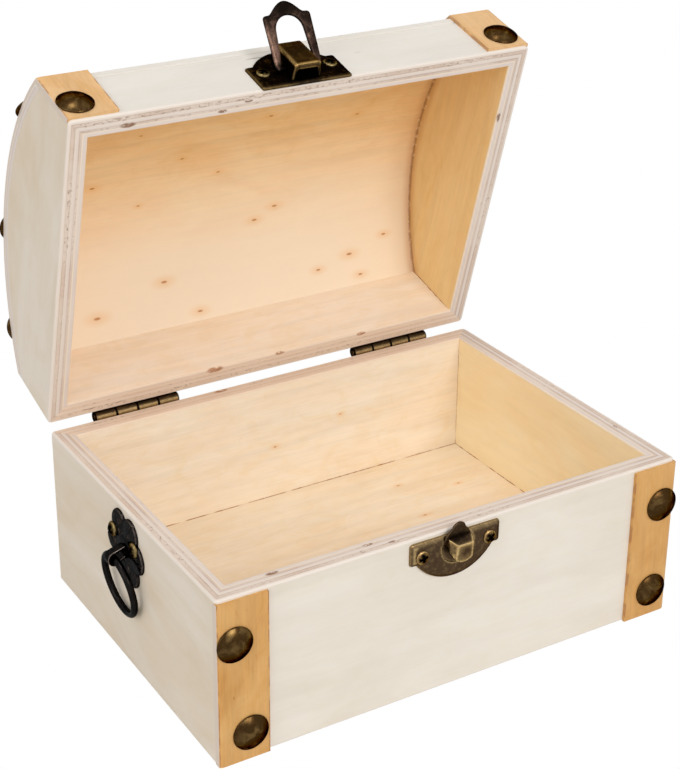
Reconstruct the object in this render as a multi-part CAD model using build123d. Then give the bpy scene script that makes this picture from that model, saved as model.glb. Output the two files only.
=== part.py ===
"""Ditty box: a small plywood treasure chest with a domed, hinged lid.

Frame: the origin is the middle of the rectangle that the walls stand on, +X runs to the right along the
front, +Y to the back and +Z up, in millimetres. The lid is modelled shut and then swung open about its
hinge pins, and the hasp's bail is modelled hanging over the catch and then swung up with the lid.
"""
import os
from math import asin, atan2, degrees, radians, sin, sqrt
from build123d import *

# Box: four mitred plywood walls round a thin floor that is let into a groove
BOX_WIDTH = 160.0
BOX_DEPTH = 113.0
BOX_HEIGHT = 54.0
PLY = 6.5
CORNER_R = 1.6
ARRIS_R = 0.7
FLOOR_PLY = 3.2
FLOOR_LIFT = 8.5
FLOOR_GROOVE = 2.5

# Lid: mitred walls under one bent sheet
LID_GAP = 0.1
LID_WALL = 23.0
DOME_RISE = 19.0
TOP_PLY = 2.5
TOP_EDGE_R = 0.6
LID_OPEN = 74.0

# Stained straps, and the dome nails that hold them
STRAP_WIDTH = 16.0
STRAP_PLY = 1.0
STRAP_DROP = 1.0
NAIL_HEAD_R = 5.6
NAIL_HEAD_H = 2.5
NAIL_SHANK_R = 0.8
NAIL_SHANK = 5.0
LOW_NAIL_UP = 9.0
HIGH_NAIL_DOWN = 14.5
LID_NAIL_UP = 7.5
LOW_LEFT_NAIL_IN = 9.8
HIGH_LEFT_NAIL_IN = 5.2
LOW_RIGHT_NAIL_IN = 6.4
HIGH_RIGHT_NAIL_IN = 5.0
LID_LEFT_NAIL_IN = 5.2
LID_RIGHT_NAIL_IN = 6.6
TOP_NAIL_INSET = 4.4
TOP_NAIL_FRONT = 40.0
TOP_NAIL_MIDDLE = 9.0
TOP_NAIL_BACK = 42.5

# Butt hinges on the outside of the back
HINGE_LENGTH = 30.0
HINGE_INSET = 31.0
LEAF_PLY = 0.9
LEAF_HEIGHT = 9.5
KNUCKLES = 4
KNUCKLE_R = 1.9
KNUCKLE_GAP = 0.15
PIN_R = 1.0
PIN_PLAY = 0.05
PIN_STANDOFF = 0.1
LEAF_RELIEF = 0.3

# Duckbill latch: a half-moon plate with a hooked bill on the box, a humped plate with a bail on the lid
LATCH_X = -2.5
PLATE_WIDTH = 31.0
PLATE_MOON_R = 15.8
PLATE_EAR_R = 0.9
CATCH_PLY = 1.2
CATCH_TOP_DROP = 1.4
CATCH_EAR = 7.1
CATCH_MOON_DROP = 14.2
HASP_PLY = 1.0
HASP_OVERHANG = 0.4
HASP_EAR = 12.5
HASP_MOON_RISE = 18.8
LATCH_EDGE_R = 0.4
SCREW_SPREAD = 11.65
CATCH_SCREW_DROP = 4.6
HASP_SCREW_RISE = 7.6

BILL_SHIFT = 0.5
BILL_PLY = 2.1
BILL_R = 3.9
BILL_NOSE = 2.6
BILL_SIDE = 2.7
BILL_REACH = 5.3
BILL_TIP_REACH = 4.5
BILL_RIDGE_DROP = 1.7
BILL_TIP_DROP = 7.9
BILL_EDGE_R = 0.3
RECESS_R = 5.6
RECESS_DEPTH = 0.4
TAB_PLY = 0.7
TAB_RISE = 4.3
TAB_TIP_OUT = 0.7
TAB_REACH = 1.3
TAB_FOOT = 4.35
TAB_R = 2.2
TAB_SET = 0.3

HUMP_SET = 1.6
HUMP_LENGTH = 14.5
HUMP_SLOPE = 1.9
HUMP_OUT = 6.3
HUMP_FOOT = 5.0
HUMP_TOP = 4.5
HUMP_PLY = 0.9
HASP_PIN_RISE = 6.6
HASP_PIN_OUT = 2.2
BAIL_PIN_R = 0.7
BAIL_PIN_BITE = 0.6
BAIL_PLY = 1.1
BAIL_MOUTH = 4.7
BAIL_MOUTH_DROP = 16.0
BAIL_SHOULDER = 8.2
BAIL_SHOULDER_DROP = 16.6
BAIL_FOOT_IN = 5.6
BAIL_FOOT_OUT = 8.0
BAIL_FOOT_RISE = 0.8
BAIL_LIP = 1.4
BAIL_LIP_ROOT = 5.6
BAIL_LIP_DROP = 20.5
BAIL_LIP_R = 3.0
BAIL_CORNER_R = 1.1
BAIL_CHAMFER = 0.25
BAIL_REST = 135.0

# Ring pulls on the two ends
HANDLE_DROP = 13.0
PETALS = 6
PETAL_R = 4.8
PETAL_SPREAD = 7.4
ROSETTE_PLY = 1.0
ROSETTE_BOSS_R = 4.2
ROSETTE_BOSS_TOP_R = 3.2
ROSETTE_BOSS_H = 0.6
EYE_WIDTH = 3.0
EYE_PLY = 0.9
EYE_OUT = 4.4
EYE_DROP = 1.8
EYE_HOLE_R = 1.5
RING_R = 10.75
RING_WIRE_R = 1.1
RING_PLAY = 0.05
RING_WALL_GAP = 0.3

# Screws: head radius, head height, shank radius, shank length
LATCH_SCREW = (2.2, 0.9, 1.0, 5.0)
HINGE_SCREW = (1.7, 0.6, 0.8, 4.5)
HANDLE_SCREW = (2.4, 1.2, 0.9, 5.0)
HINGE_SCREW_SPREAD = 9.0
HANDLE_SCREW_SPREAD = 7.15
HANDLE_SCREW_UP = 3.2
SHANK_PLAY = 0.03
CROSS_WIDTH = 0.55
CROSS_SHARE = 0.62

# Sizes that follow from those above
LID_FLOOR = BOX_HEIGHT + LID_GAP
BEND_Z = LID_FLOOR + LID_WALL
HINGE_X = BOX_WIDTH / 2 - HINGE_INSET
HANDLE_Z = BOX_HEIGHT - HANDLE_DROP
HALF_DEPTH = BOX_DEPTH / 2
DOME_R = (HALF_DEPTH**2 + DOME_RISE**2) / (2 * DOME_RISE)
DOME_Z = BEND_Z + DOME_RISE - DOME_R
PIN_Y = HALF_DEPTH + PIN_STANDOFF + KNUCKLE_R
PIN_Z = BOX_HEIGHT
CATCH_TOP = BOX_HEIGHT - CATCH_TOP_DROP
HASP_FOOT = LID_FLOOR - HASP_OVERHANG
PIVOT_Z = HASP_FOOT + HASP_PIN_RISE
MARGIN = 20.0

nodes = {}


def front(x=0.0, z=0.0, out=0.0):
    """A plane on the front wall: local x to the right, local y up, local z out of the wall."""
    return Plane(origin=(x, -HALF_DEPTH - out, z), x_dir=(1, 0, 0), z_dir=(0, -1, 0))


def back(x=0.0, z=0.0, out=0.0):
    """A plane on the back wall: local y up, local z out of the wall."""
    return Plane(origin=(x, HALF_DEPTH + out, z), x_dir=(-1, 0, 0), z_dir=(0, 1, 0))


def end(side, y=0.0, z=0.0, out=0.0):
    """A plane on the left (-1) or right (1) end wall: local y up, local z out of the wall."""
    return Plane(origin=(side * (BOX_WIDTH / 2 + out), y, z), x_dir=(0, side, 0), z_dir=(side, 0, 0))


def footprint(grow, z0, z1):
    """The box's outline with its rounded corners, grown by grow and extruded from z0 to z1."""
    outline = RectangleRounded(BOX_WIDTH + 2 * grow, BOX_DEPTH + 2 * grow, CORNER_R + grow)
    return Pos(0, 0, z0) * extrude(outline, z1 - z0)


def hollow(z0, z1):
    """The space inside the walls."""
    return Pos(0, 0, z0) * extrude(Rectangle(BOX_WIDTH - 2 * PLY, BOX_DEPTH - 2 * PLY), z1 - z0)


def dome(radius):
    """A long cylinder along X on the lid's axis."""
    return Pos(0, 0, DOME_Z) * Rot(0, 90, 0) * Cylinder(radius, BOX_WIDTH + 2 * MARGIN)


def slab(x0, x1, y0, y1, z0, z1):
    """A block between two opposite corners."""
    return Pos((x0 + x1) / 2, (y0 + y1) / 2, (z0 + z1) / 2) * Box(x1 - x0, y1 - y0, z1 - z0)


def mitre_walls(ring, z0, z1):
    """Cuts a four-sided ring of walls along its mitres and returns front, back, left and right."""
    x, y, reach = BOX_WIDTH / 2, HALF_DEPTH, 2 * PLY
    far = Polygon((-x - MARGIN, -y - MARGIN), (x + MARGIN, -y - MARGIN), (x - reach, -y + reach),
                  (-x + reach, -y + reach), align=None)
    wedge = Pos(0, 0, z0) * extrude(far, z1 - z0)
    front_wall = ring & wedge
    back_wall = ring & mirror(wedge, about=Plane.XZ)
    ends = ring - wedge - mirror(wedge, about=Plane.XZ)
    left_wall, right_wall = ends.solids().sort_by(Axis.X)
    return front_wall, back_wall, left_wall, right_wall


def screw(size):
    """A cross-head wood screw on the z = 0 seat, head up."""
    head_r, head_h, shank_r, shank = size
    crown_r = (head_r**2 + head_h**2) / (2 * head_h)
    head = Pos(0, 0, head_h - crown_r) * Sphere(crown_r)
    head &= Pos(0, 0, head_h / 2) * Cylinder(head_r, head_h)
    slot = Pos(0, 0, head_h) * Box(2 * head_r * CROSS_SHARE, CROSS_WIDTH, head_h)
    return head - slot - Rot(0, 0, 90) * slot + Pos(0, 0, -shank / 2) * Cylinder(shank_r, shank)


def nail():
    """A dome-headed nail on the z = 0 seat, head up."""
    crown_r = (NAIL_HEAD_R**2 + NAIL_HEAD_H**2) / (2 * NAIL_HEAD_H)
    head = Pos(0, 0, NAIL_HEAD_H - crown_r) * Sphere(crown_r)
    head &= Pos(0, 0, NAIL_HEAD_H) * Cylinder(2 * NAIL_HEAD_R, 2 * NAIL_HEAD_H)
    return head + Pos(0, 0, -NAIL_SHANK / 2) * Cylinder(NAIL_SHANK_R, NAIL_SHANK)


def hole(size, depth):
    """The hole that a screw's shank needs below the z = 0 seat, and through what it holds."""
    return Pos(0, 0, -depth / 2) * Cylinder(size[2] + SHANK_PLAY, depth)


def join(solids):
    """Separate solids as one node."""
    return Compound(children=[s for piece in solids for s in piece.solids()])


def make_box():
    """The mitred walls, the floor, and the straps on the front."""
    walls = footprint(0, 0, BOX_HEIGHT) - hollow(0, BOX_HEIGHT)
    walls = fillet(walls.edges().filter_by_position(Axis.Z, BOX_HEIGHT, BOX_HEIGHT), ARRIS_R)
    walls = fillet(walls.edges().filter_by_position(Axis.Z, 0, 0), ARRIS_R)
    board = slab(-BOX_WIDTH / 2 + PLY - FLOOR_GROOVE, BOX_WIDTH / 2 - PLY + FLOOR_GROOVE,
                 -HALF_DEPTH + PLY - FLOOR_GROOVE, HALF_DEPTH - PLY + FLOOR_GROOVE,
                 FLOOR_LIFT, FLOOR_LIFT + FLOOR_PLY)
    names = ("box_front_wall", "box_back_wall", "box_left_wall", "box_right_wall")
    nodes.update(zip(names, mitre_walls(walls - board, 0, BOX_HEIGHT)))
    nodes["box_floor"] = board
    for side, name in ((-1, "box_left_strap"), (1, "box_right_strap")):
        nodes[name] = front_strap(side, 0, BOX_HEIGHT - STRAP_DROP)


def front_strap(side, z0, z1):
    """A flat strap up the front, which follows the rounded corner."""
    skin = footprint(STRAP_PLY, z0, z1) - footprint(0, z0, z1)
    edge, inner = side * BOX_WIDTH / 2, side * (BOX_WIDTH / 2 - STRAP_WIDTH)
    return skin & slab(min(edge, inner), max(edge, inner), -HALF_DEPTH - MARGIN, -HALF_DEPTH + CORNER_R, z0, z1)


def make_lid():
    """The lid's mitred walls, its bent top and its straps, shut."""
    top = DOME_Z + DOME_R + MARGIN
    walls = footprint(0, LID_FLOOR, top) - hollow(LID_FLOOR, top)
    walls = fillet(walls.edges().filter_by_position(Axis.Z, LID_FLOOR, LID_FLOOR), ARRIS_R)
    walls &= dome(DOME_R - TOP_PLY)
    names = ("lid_front_wall", "lid_back_wall", "lid_left_wall", "lid_right_wall")
    nodes.update(zip(names, mitre_walls(walls, LID_FLOOR, top)))
    sheet = footprint(0, LID_FLOOR, top) & (dome(DOME_R) - dome(DOME_R - TOP_PLY))
    outside = sheet.faces().filter_by(GeomType.CYLINDER).sort_by(SortBy.AREA)[-1]
    nodes["lid_top"] = fillet(outside.edges(), TOP_EDGE_R)
    for side, word in ((-1, "left"), (1, "right")):
        flat = front_strap(side, LID_FLOOR + STRAP_DROP, top) & dome(DOME_R + STRAP_PLY)
        nodes[f"lid_{word}_front_strap"] = flat
        band = footprint(0, LID_FLOOR, top) & (dome(DOME_R + STRAP_PLY) - dome(DOME_R))
        edge, inner = side * BOX_WIDTH / 2, side * (BOX_WIDTH / 2 - STRAP_WIDTH)
        nodes[f"lid_{word}_top_strap"] = band & slab(
            min(edge, inner), max(edge, inner), -HALF_DEPTH, HALF_DEPTH, LID_FLOOR, top)


def drive(fasteners, places, bore, *targets):
    """Puts copies of a fastener at places, bores the nodes that it goes through, and returns the copies."""
    for target in targets:
        for place in places:
            nodes[target] -= place * bore
    return join([place * fasteners for place in places])


def top_nail_plane(side, y):
    """The plane on the bent top strap at depth y."""
    radius = DOME_R + STRAP_PLY
    lean = asin(y / radius)
    z = DOME_Z + sqrt(radius**2 - y**2)
    return Plane(origin=(side * (BOX_WIDTH / 2 - TOP_NAIL_INSET), y, z), x_dir=(1, 0, 0),
                 z_dir=(0, sin(lean), sqrt(1 - sin(lean) ** 2)))


def nail_straps():
    """Dome nails through the straps into the walls and into the bent top."""
    half = BOX_WIDTH / 2
    bore = Pos(0, 0, -NAIL_SHANK / 2) * Cylinder(NAIL_SHANK_R + SHANK_PLAY, NAIL_SHANK)
    low, high, lid = LOW_NAIL_UP, BOX_HEIGHT - HIGH_NAIL_DOWN, LID_FLOOR + LID_NAIL_UP
    box_places = [
        front(LOW_LEFT_NAIL_IN - half, low, STRAP_PLY), front(HIGH_LEFT_NAIL_IN - half, high, STRAP_PLY),
        front(half - LOW_RIGHT_NAIL_IN, low, STRAP_PLY), front(half - HIGH_RIGHT_NAIL_IN, high, STRAP_PLY)]
    lid_places = [
        front(LID_LEFT_NAIL_IN - half, lid, STRAP_PLY), front(half - LID_RIGHT_NAIL_IN, lid, STRAP_PLY)]
    nodes["box_strap_nails"] = drive(
        nail(), box_places, bore, "box_front_wall", "box_left_strap", "box_right_strap")
    nodes["lid_front_nails"] = drive(
        nail(), lid_places, bore, "lid_front_wall", "lid_left_front_strap", "lid_right_front_strap")
    rows = (-TOP_NAIL_FRONT, TOP_NAIL_MIDDLE, TOP_NAIL_BACK)
    tops = [top_nail_plane(side, y) for side in (-1, 1) for y in rows]
    nodes["lid_top_nails"] = drive(
        nail(), tops, bore, "lid_top", "lid_left_wall", "lid_right_wall", "lid_left_top_strap",
        "lid_right_top_strap")


def half_moon(straight, ear, moon_tip, up):
    """A latch plate's outline: two square ears on a straight edge at height straight, and a round belly.

    up is 1 where the belly bulges up and -1 where it hangs down."""
    ears = Pos(0, straight + up * ear / 2) * Rectangle(PLATE_WIDTH, ear)
    ears = fillet(ears.vertices(), PLATE_EAR_R)
    middle = straight + up * (moon_tip - PLATE_MOON_R)
    belly = Pos(0, middle) * Circle(PLATE_MOON_R)
    belly &= Pos(0, straight + up * moon_tip / 2) * Rectangle(2 * PLATE_MOON_R, moon_tip)
    return ears + belly


def side_profile(points, half_width):
    """Extrudes a closed profile of (out, height) points along X, half_width each way, in the front plane."""
    face = make_face(Polyline(*[(0, height, out) for out, height in points], close=True))
    return extrude(face, half_width, dir=(1, 0, 0), both=True)


def make_catch():
    """The catch on the box: a half-moon plate, a hooked bill with a faceted nose, and a guide tab above it."""
    plate = extrude(half_moon(CATCH_TOP, CATCH_EAR, CATCH_MOON_DROP, -1), CATCH_PLY)
    plate = fillet(plate.faces().sort_by(Axis.Z)[-1].edges(), LATCH_EDGE_R)
    root, ridge, tip = CATCH_TOP - LATCH_EDGE_R, CATCH_TOP - BILL_RIDGE_DROP, CATCH_TOP - BILL_TIP_DROP
    underside = ridge - BILL_PLY
    bill = side_profile([
        (0, root), (CATCH_PLY, root), (BILL_REACH, ridge), (BILL_TIP_REACH, tip),
        (BILL_TIP_REACH - BILL_PLY, tip), (BILL_REACH - BILL_PLY, underside), (0, underside)], BILL_R)
    front_shape = Pos(0, tip + BILL_R) * Circle(BILL_R) + Pos(0, (root + tip + BILL_R) / 2) * Rectangle(
        2 * BILL_R, root - tip - BILL_R)
    bill &= extrude(front_shape, BILL_REACH)
    shoulder = BILL_REACH - BILL_SIDE
    nose = Polygon((-BILL_R, 0), (BILL_R, 0), (BILL_R, shoulder), (BILL_NOSE, BILL_REACH),
                   (-BILL_NOSE, BILL_REACH), (-BILL_R, shoulder), align=None)
    bill &= Pos(0, root, 0) * Rot(90, 0, 0) * extrude(nose, root - tip)
    bill = fillet(bill.edges().filter_by(Axis.X).group_by(Axis.Z)[-1], BILL_EDGE_R)
    tab_foot, tab_tip = root - TAB_PLY, CATCH_TOP + TAB_RISE
    tab = side_profile([
        (TAB_REACH - TAB_SET, tab_foot), (TAB_REACH, CATCH_TOP), (TAB_REACH + TAB_TIP_OUT, tab_tip),
        (TAB_REACH + TAB_TIP_OUT + TAB_PLY, tab_tip), (TAB_REACH + TAB_PLY, CATCH_TOP),
        (TAB_REACH - TAB_SET + TAB_PLY, tab_foot)], TAB_FOOT)
    brow, brow_z = 0.8 * TAB_R, tab_tip - TAB_R / 2
    shape = Pos(0, tab_tip - TAB_R) * Circle(TAB_R) + Polygon(
        (-TAB_FOOT, tab_foot), (TAB_FOOT, tab_foot), (TAB_FOOT, CATCH_TOP), (brow, brow_z), (-brow, brow_z),
        (-TAB_FOOT, CATCH_TOP), align=None)
    tab &= extrude(shape, MARGIN)
    recess = Pos(0, tip + BILL_R, CATCH_PLY) * Cylinder(RECESS_R, 2 * RECESS_DEPTH)
    recess &= slab(-MARGIN, MARGIN, 0, underside, 0, MARGIN)
    aside = Pos(BILL_SHIFT, 0)
    nodes["duckbill_catch"] = front(LATCH_X) * (plate - aside * recess + aside * bill + tab)
    places = [front(LATCH_X + side * SCREW_SPREAD, CATCH_TOP - CATCH_SCREW_DROP, CATCH_PLY) for side in (-1, 1)]
    bore = hole(LATCH_SCREW, LATCH_SCREW[3])
    nodes["catch_screws"] = drive(screw(LATCH_SCREW), places, bore, "duckbill_catch", "box_front_wall")


def hump(inset):
    """The hasp's hump, or with inset the hollow inside it, in the front plane."""
    foot, out = HASP_FOOT + HUMP_SET, HUMP_OUT - inset
    far = foot + HUMP_LENGTH - inset
    side = side_profile([(0, foot), (out, foot), (out, far - HUMP_SLOPE), (HASP_PLY, far), (0, far)], HUMP_FOOT)
    slope = (HUMP_FOOT - HUMP_TOP) / HUMP_OUT
    wide, narrow = HUMP_FOOT - inset, HUMP_FOOT - inset - slope * out
    section = Polygon((-wide, 0), (wide, 0), (narrow, out), (-narrow, out), align=None)
    return side & Pos(0, foot, 0) * Rot(90, 0, 0) * Pos(0, 0, -HUMP_LENGTH) * extrude(section, HUMP_LENGTH)


def make_hasp():
    """The hasp on the lid: a half-moon plate with a hollow hump, which carries the bail's two pins."""
    plate = extrude(half_moon(HASP_FOOT, HASP_EAR, HASP_MOON_RISE, 1), HASP_PLY)
    plate = fillet(plate.faces().sort_by(Axis.Z)[-1].edges(), LATCH_EDGE_R)
    pin_bore = Pos(0, PIVOT_Z, HASP_PIN_OUT) * Rot(0, 90, 0) * Cylinder(BAIL_PIN_R + PIN_PLAY, 4 * HUMP_FOOT)
    shell = hump(0)
    shell = fillet(shell.edges().filter_by(lambda e: e.center().Z > HASP_PLY + HUMP_PLY), HUMP_PLY / 2)
    nodes["hasp_plate"] = front(LATCH_X) * (plate + shell - hump(HUMP_PLY) - pin_bore)
    places = [front(LATCH_X + side * SCREW_SPREAD, HASP_FOOT + HASP_SCREW_RISE, HASP_PLY) for side in (-1, 1)]
    bore = hole(LATCH_SCREW, LATCH_SCREW[3])
    nodes["hasp_screws"] = drive(screw(LATCH_SCREW), places, bore, "hasp_plate", "lid_front_wall")


def make_bail():
    """The bail, hanging shut: a stamped arch with a lipped foot, and two pins into the hump."""
    top, bar, lip = PIVOT_Z + BAIL_FOOT_RISE, PIVOT_Z - BAIL_SHOULDER_DROP, PIVOT_Z - BAIL_LIP_DROP
    outer = Polygon(
        (-BAIL_FOOT_OUT, top), (-BAIL_SHOULDER, bar), (-BAIL_LIP_ROOT, bar), (-BAIL_LIP, lip),
        (BAIL_LIP, lip), (BAIL_LIP_ROOT, bar), (BAIL_SHOULDER, bar), (BAIL_FOOT_OUT, top), align=None)
    outer = fillet(outer.vertices().filter_by(lambda v: abs(v.X) < BAIL_MOUTH + BAIL_CORNER_R), BAIL_LIP_R)
    outer = fillet(outer.vertices().filter_by(lambda v: abs(v.X) > BAIL_FOOT_OUT), BAIL_CORNER_R)
    arc_z = PIVOT_Z - BAIL_MOUTH_DROP + BAIL_MOUTH
    mouth = Pos(0, arc_z) * Circle(BAIL_MOUTH) + Polygon(
        (-BAIL_MOUTH, arc_z), (BAIL_MOUTH, arc_z), (BAIL_FOOT_IN, top + BAIL_PLY),
        (-BAIL_FOOT_IN, top + BAIL_PLY), align=None)
    arch = outer - mouth
    arch = fillet(arch.vertices().group_by(Axis.Y)[-1], BAIL_CORNER_R)
    arch = extrude(arch, BAIL_PLY)
    arch = chamfer(arch.faces().filter_by(Axis.Z).edges(), BAIL_CHAMFER)
    arch = Pos(0, 0, HASP_PIN_OUT - BAIL_PLY / 2) * arch
    wall = HUMP_FOOT - HUMP_PLY - (HUMP_FOOT - HUMP_TOP) * HASP_PIN_OUT / HUMP_OUT
    reach = BAIL_FOOT_IN + BAIL_PIN_BITE - wall
    pin = Rot(0, 90, 0) * Cylinder(BAIL_PIN_R, reach)
    pins = [Pos(side * (wall + reach / 2), PIVOT_Z, HASP_PIN_OUT) * pin for side in (-1, 1)]
    nodes["hasp_bail"] = front(LATCH_X) * (arch + pins[0] + pins[1])


def hinge_leaf(x, up, own):
    """One leaf: a plate on the back wall and its share of the knuckles. up is 1 on the lid, -1 on the box."""
    pitch = HINGE_LENGTH / KNUCKLES
    bore_r = PIN_R if up < 0 else PIN_R + PIN_PLAY
    z_far = PIN_Z + up * LEAF_HEIGHT
    leaf = slab(x - HINGE_LENGTH / 2, x + HINGE_LENGTH / 2, HALF_DEPTH, HALF_DEPTH + LEAF_PLY,
                min(PIN_Z, z_far), max(PIN_Z, z_far))
    for k in range(KNUCKLES):
        x0 = x - HINGE_LENGTH / 2 + k * pitch
        tube_x = x0 + pitch / 2
        if k % 2 == own:
            tube = Pos(tube_x, PIN_Y, PIN_Z) * Rot(0, 90, 0) * Cylinder(KNUCKLE_R, pitch - KNUCKLE_GAP)
            leaf += tube
        else:
            clear = KNUCKLE_R + LEAF_RELIEF
            leaf -= Pos(tube_x, PIN_Y, PIN_Z) * Rot(0, 90, 0) * Cylinder(clear, pitch + KNUCKLE_GAP)
            leaf -= slab(x0 - KNUCKLE_GAP / 2, x0 + pitch + KNUCKLE_GAP / 2, HALF_DEPTH - LEAF_PLY, PIN_Y,
                         PIN_Z - clear, PIN_Z + clear)
    return leaf - Pos(x, PIN_Y, PIN_Z) * Rot(0, 90, 0) * Cylinder(bore_r, 2 * HINGE_LENGTH)


def make_hinges():
    """Two butt hinges: box leaves, lid leaves, pins and screws."""
    places = {"box": [], "lid": []}
    for side, word in ((-1, "left"), (1, "right")):
        x = side * HINGE_X
        nodes[f"{word}_hinge_box_leaf"] = hinge_leaf(x, -1, 1)
        nodes[f"{word}_hinge_lid_leaf"] = hinge_leaf(x, 1, 0)
        nodes[f"{word}_hinge_pin"] = Pos(x, PIN_Y, PIN_Z) * Rot(0, 90, 0) * Cylinder(PIN_R, HINGE_LENGTH)
        for part, up in (("box", -1), ("lid", 1)):
            z = PIN_Z + up * (KNUCKLE_R + LEAF_HEIGHT) / 2
            places[part] += [back(x + s * HINGE_SCREW_SPREAD, z, LEAF_PLY) for s in (-1, 1)]
    bore = hole(HINGE_SCREW, HINGE_SCREW[3])
    for part in ("box", "lid"):
        nodes[f"hinge_{part}_screws"] = drive(
            screw(HINGE_SCREW), places[part], bore, f"left_hinge_{part}_leaf", f"right_hinge_{part}_leaf",
            f"{part}_back_wall")


def make_handle(side, word):
    """A ring pull: a six-petalled rosette, an eye in its middle, two screws and the hanging ring."""
    rosette = Circle(PETAL_SPREAD)
    for k in range(PETALS):
        rosette += Rot(0, 0, k * 360 / PETALS) * Pos(PETAL_SPREAD, 0) * Circle(PETAL_R)
    rosette = extrude(rosette, ROSETTE_PLY)
    rosette = chamfer(rosette.faces().sort_by(Axis.Z)[-1].edges(), 0.35)
    boss = Pos(0, 0, ROSETTE_PLY + ROSETTE_BOSS_H / 2) * Cone(
        ROSETTE_BOSS_R, ROSETTE_BOSS_TOP_R, ROSETTE_BOSS_H)
    hole_place = Pos(0, -EYE_DROP, EYE_OUT) * Rot(0, 90, 0)
    eye_r = EYE_HOLE_R + EYE_PLY
    foot = Line((-eye_r, ROSETTE_PLY), (eye_r, ROSETTE_PLY))
    loop = CenterArc((-EYE_DROP, EYE_OUT), eye_r, 0, 360)
    profile = make_hull([foot, loop])
    eye = Plane.YZ * extrude(profile, EYE_WIDTH / 2, both=True)
    eye += slab(-EYE_WIDTH / 2, EYE_WIDTH / 2, -eye_r, eye_r, 0, ROSETTE_PLY)
    seat = end(side, 0, HANDLE_Z)
    nodes[f"{word}_handle_rosette"] = seat * (rosette + boss - eye)
    nodes[f"{word}_handle_eye"] = seat * (eye - hole_place * Cylinder(EYE_HOLE_R, 2 * EYE_WIDTH))
    places = [end(side, s * HANDLE_SCREW_SPREAD, HANDLE_Z + HANDLE_SCREW_UP, ROSETTE_PLY) for s in (-1, 1)]
    bore = hole(HANDLE_SCREW, HANDLE_SCREW[3])
    nodes[f"{word}_handle_screws"] = drive(
        screw(HANDLE_SCREW), places, bore, f"{word}_handle_rosette", f"box_{word}_wall")
    span = RING_R - RING_WIRE_R
    sag = span - sqrt(span**2 - (EYE_WIDTH / 2) ** 2)
    drop = EYE_HOLE_R - RING_WIRE_R - RING_PLAY - sag
    lean = degrees(atan2(EYE_OUT - RING_WIRE_R - RING_WALL_GAP, 2 * span + drop))
    ring = Pos(0, -span - drop, 0) * Torus(span, RING_WIRE_R)
    nodes[f"{word}_ring"] = seat * Pos(0, -EYE_DROP, EYE_OUT) * Rot(lean, 0, 0) * ring


def swing(piece, y, z, angle):
    """Turns a piece about a line along X through (y, z)."""
    turn = Pos(0, y, z) * Rot(angle, 0, 0) * Pos(0, -y, -z)
    return join([turn * solid for solid in piece.solids()])


LID_NODES = ("lid_", "hasp_", "left_hinge_lid", "right_hinge_lid", "hinge_lid")


def main():
    make_box()
    make_lid()
    nail_straps()
    make_catch()
    make_hasp()
    make_bail()
    make_hinges()
    for side, word in ((-1, "left"), (1, "right")):
        make_handle(side, word)
    pivot_y = -HALF_DEPTH - HASP_PIN_OUT
    nodes["hasp_bail"] = swing(nodes["hasp_bail"], pivot_y, PIVOT_Z, -BAIL_REST)
    for name in nodes:
        if name.startswith(LID_NODES):
            nodes[name] = swing(nodes[name], PIN_Y, PIN_Z, -LID_OPEN)
    os.makedirs("parts", exist_ok=True)
    for name, shape in nodes.items():
        export_step(shape, f"parts/{name}.step")


main()
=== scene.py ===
# %% [markdown]
# # A small plywood ditty box
#
# This lesson dresses a little treasure chest: pale plywood walls with their plies showing on the rims,
# stained straps held by dome nails, two butt hinges, a duckbill latch and two ring pulls. The packed
# model is the frame, and every piece made here rides on one of its bodies.

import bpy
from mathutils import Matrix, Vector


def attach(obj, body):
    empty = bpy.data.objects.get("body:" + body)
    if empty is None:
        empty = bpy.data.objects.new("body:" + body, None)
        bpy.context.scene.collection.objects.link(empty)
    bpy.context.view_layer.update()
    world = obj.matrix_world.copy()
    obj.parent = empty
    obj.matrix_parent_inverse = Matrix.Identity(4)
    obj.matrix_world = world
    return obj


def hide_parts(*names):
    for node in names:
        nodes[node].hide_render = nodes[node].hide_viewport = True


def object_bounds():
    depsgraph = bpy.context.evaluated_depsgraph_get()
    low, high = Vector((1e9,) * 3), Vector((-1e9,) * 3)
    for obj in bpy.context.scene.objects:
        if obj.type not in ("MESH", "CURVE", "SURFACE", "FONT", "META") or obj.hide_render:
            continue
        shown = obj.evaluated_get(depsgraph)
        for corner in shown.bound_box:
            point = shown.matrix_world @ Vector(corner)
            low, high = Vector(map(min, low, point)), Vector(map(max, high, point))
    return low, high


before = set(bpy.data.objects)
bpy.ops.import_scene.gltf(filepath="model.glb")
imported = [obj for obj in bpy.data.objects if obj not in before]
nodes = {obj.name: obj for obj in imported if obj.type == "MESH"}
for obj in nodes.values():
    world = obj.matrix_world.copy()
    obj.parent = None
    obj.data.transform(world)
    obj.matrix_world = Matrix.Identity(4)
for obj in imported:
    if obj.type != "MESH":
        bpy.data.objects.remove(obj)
low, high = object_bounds()
print("the packed model reaches from", list(low), "to", list(high))

# %% Libraries
import math

import bmesh
import bpy
import numpy as np
from mathutils import Matrix, Vector
from mathutils.geometry import delaunay_2d_cdt

scene = bpy.context.scene
MM = 0.001
print("pieces in the frame:", len(nodes))

# %% [markdown]
# ## Sizes
#
# These are the sizes of the real box, in millimetres. Its front faces -y, and the floor it stands on is z
# = 0. The lid could be described where it stands, tilted back, but a joiner makes it shut and square, so
# it is described that way here too. `OPEN_LID` then swings such a point up to where the lid stands.

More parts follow.
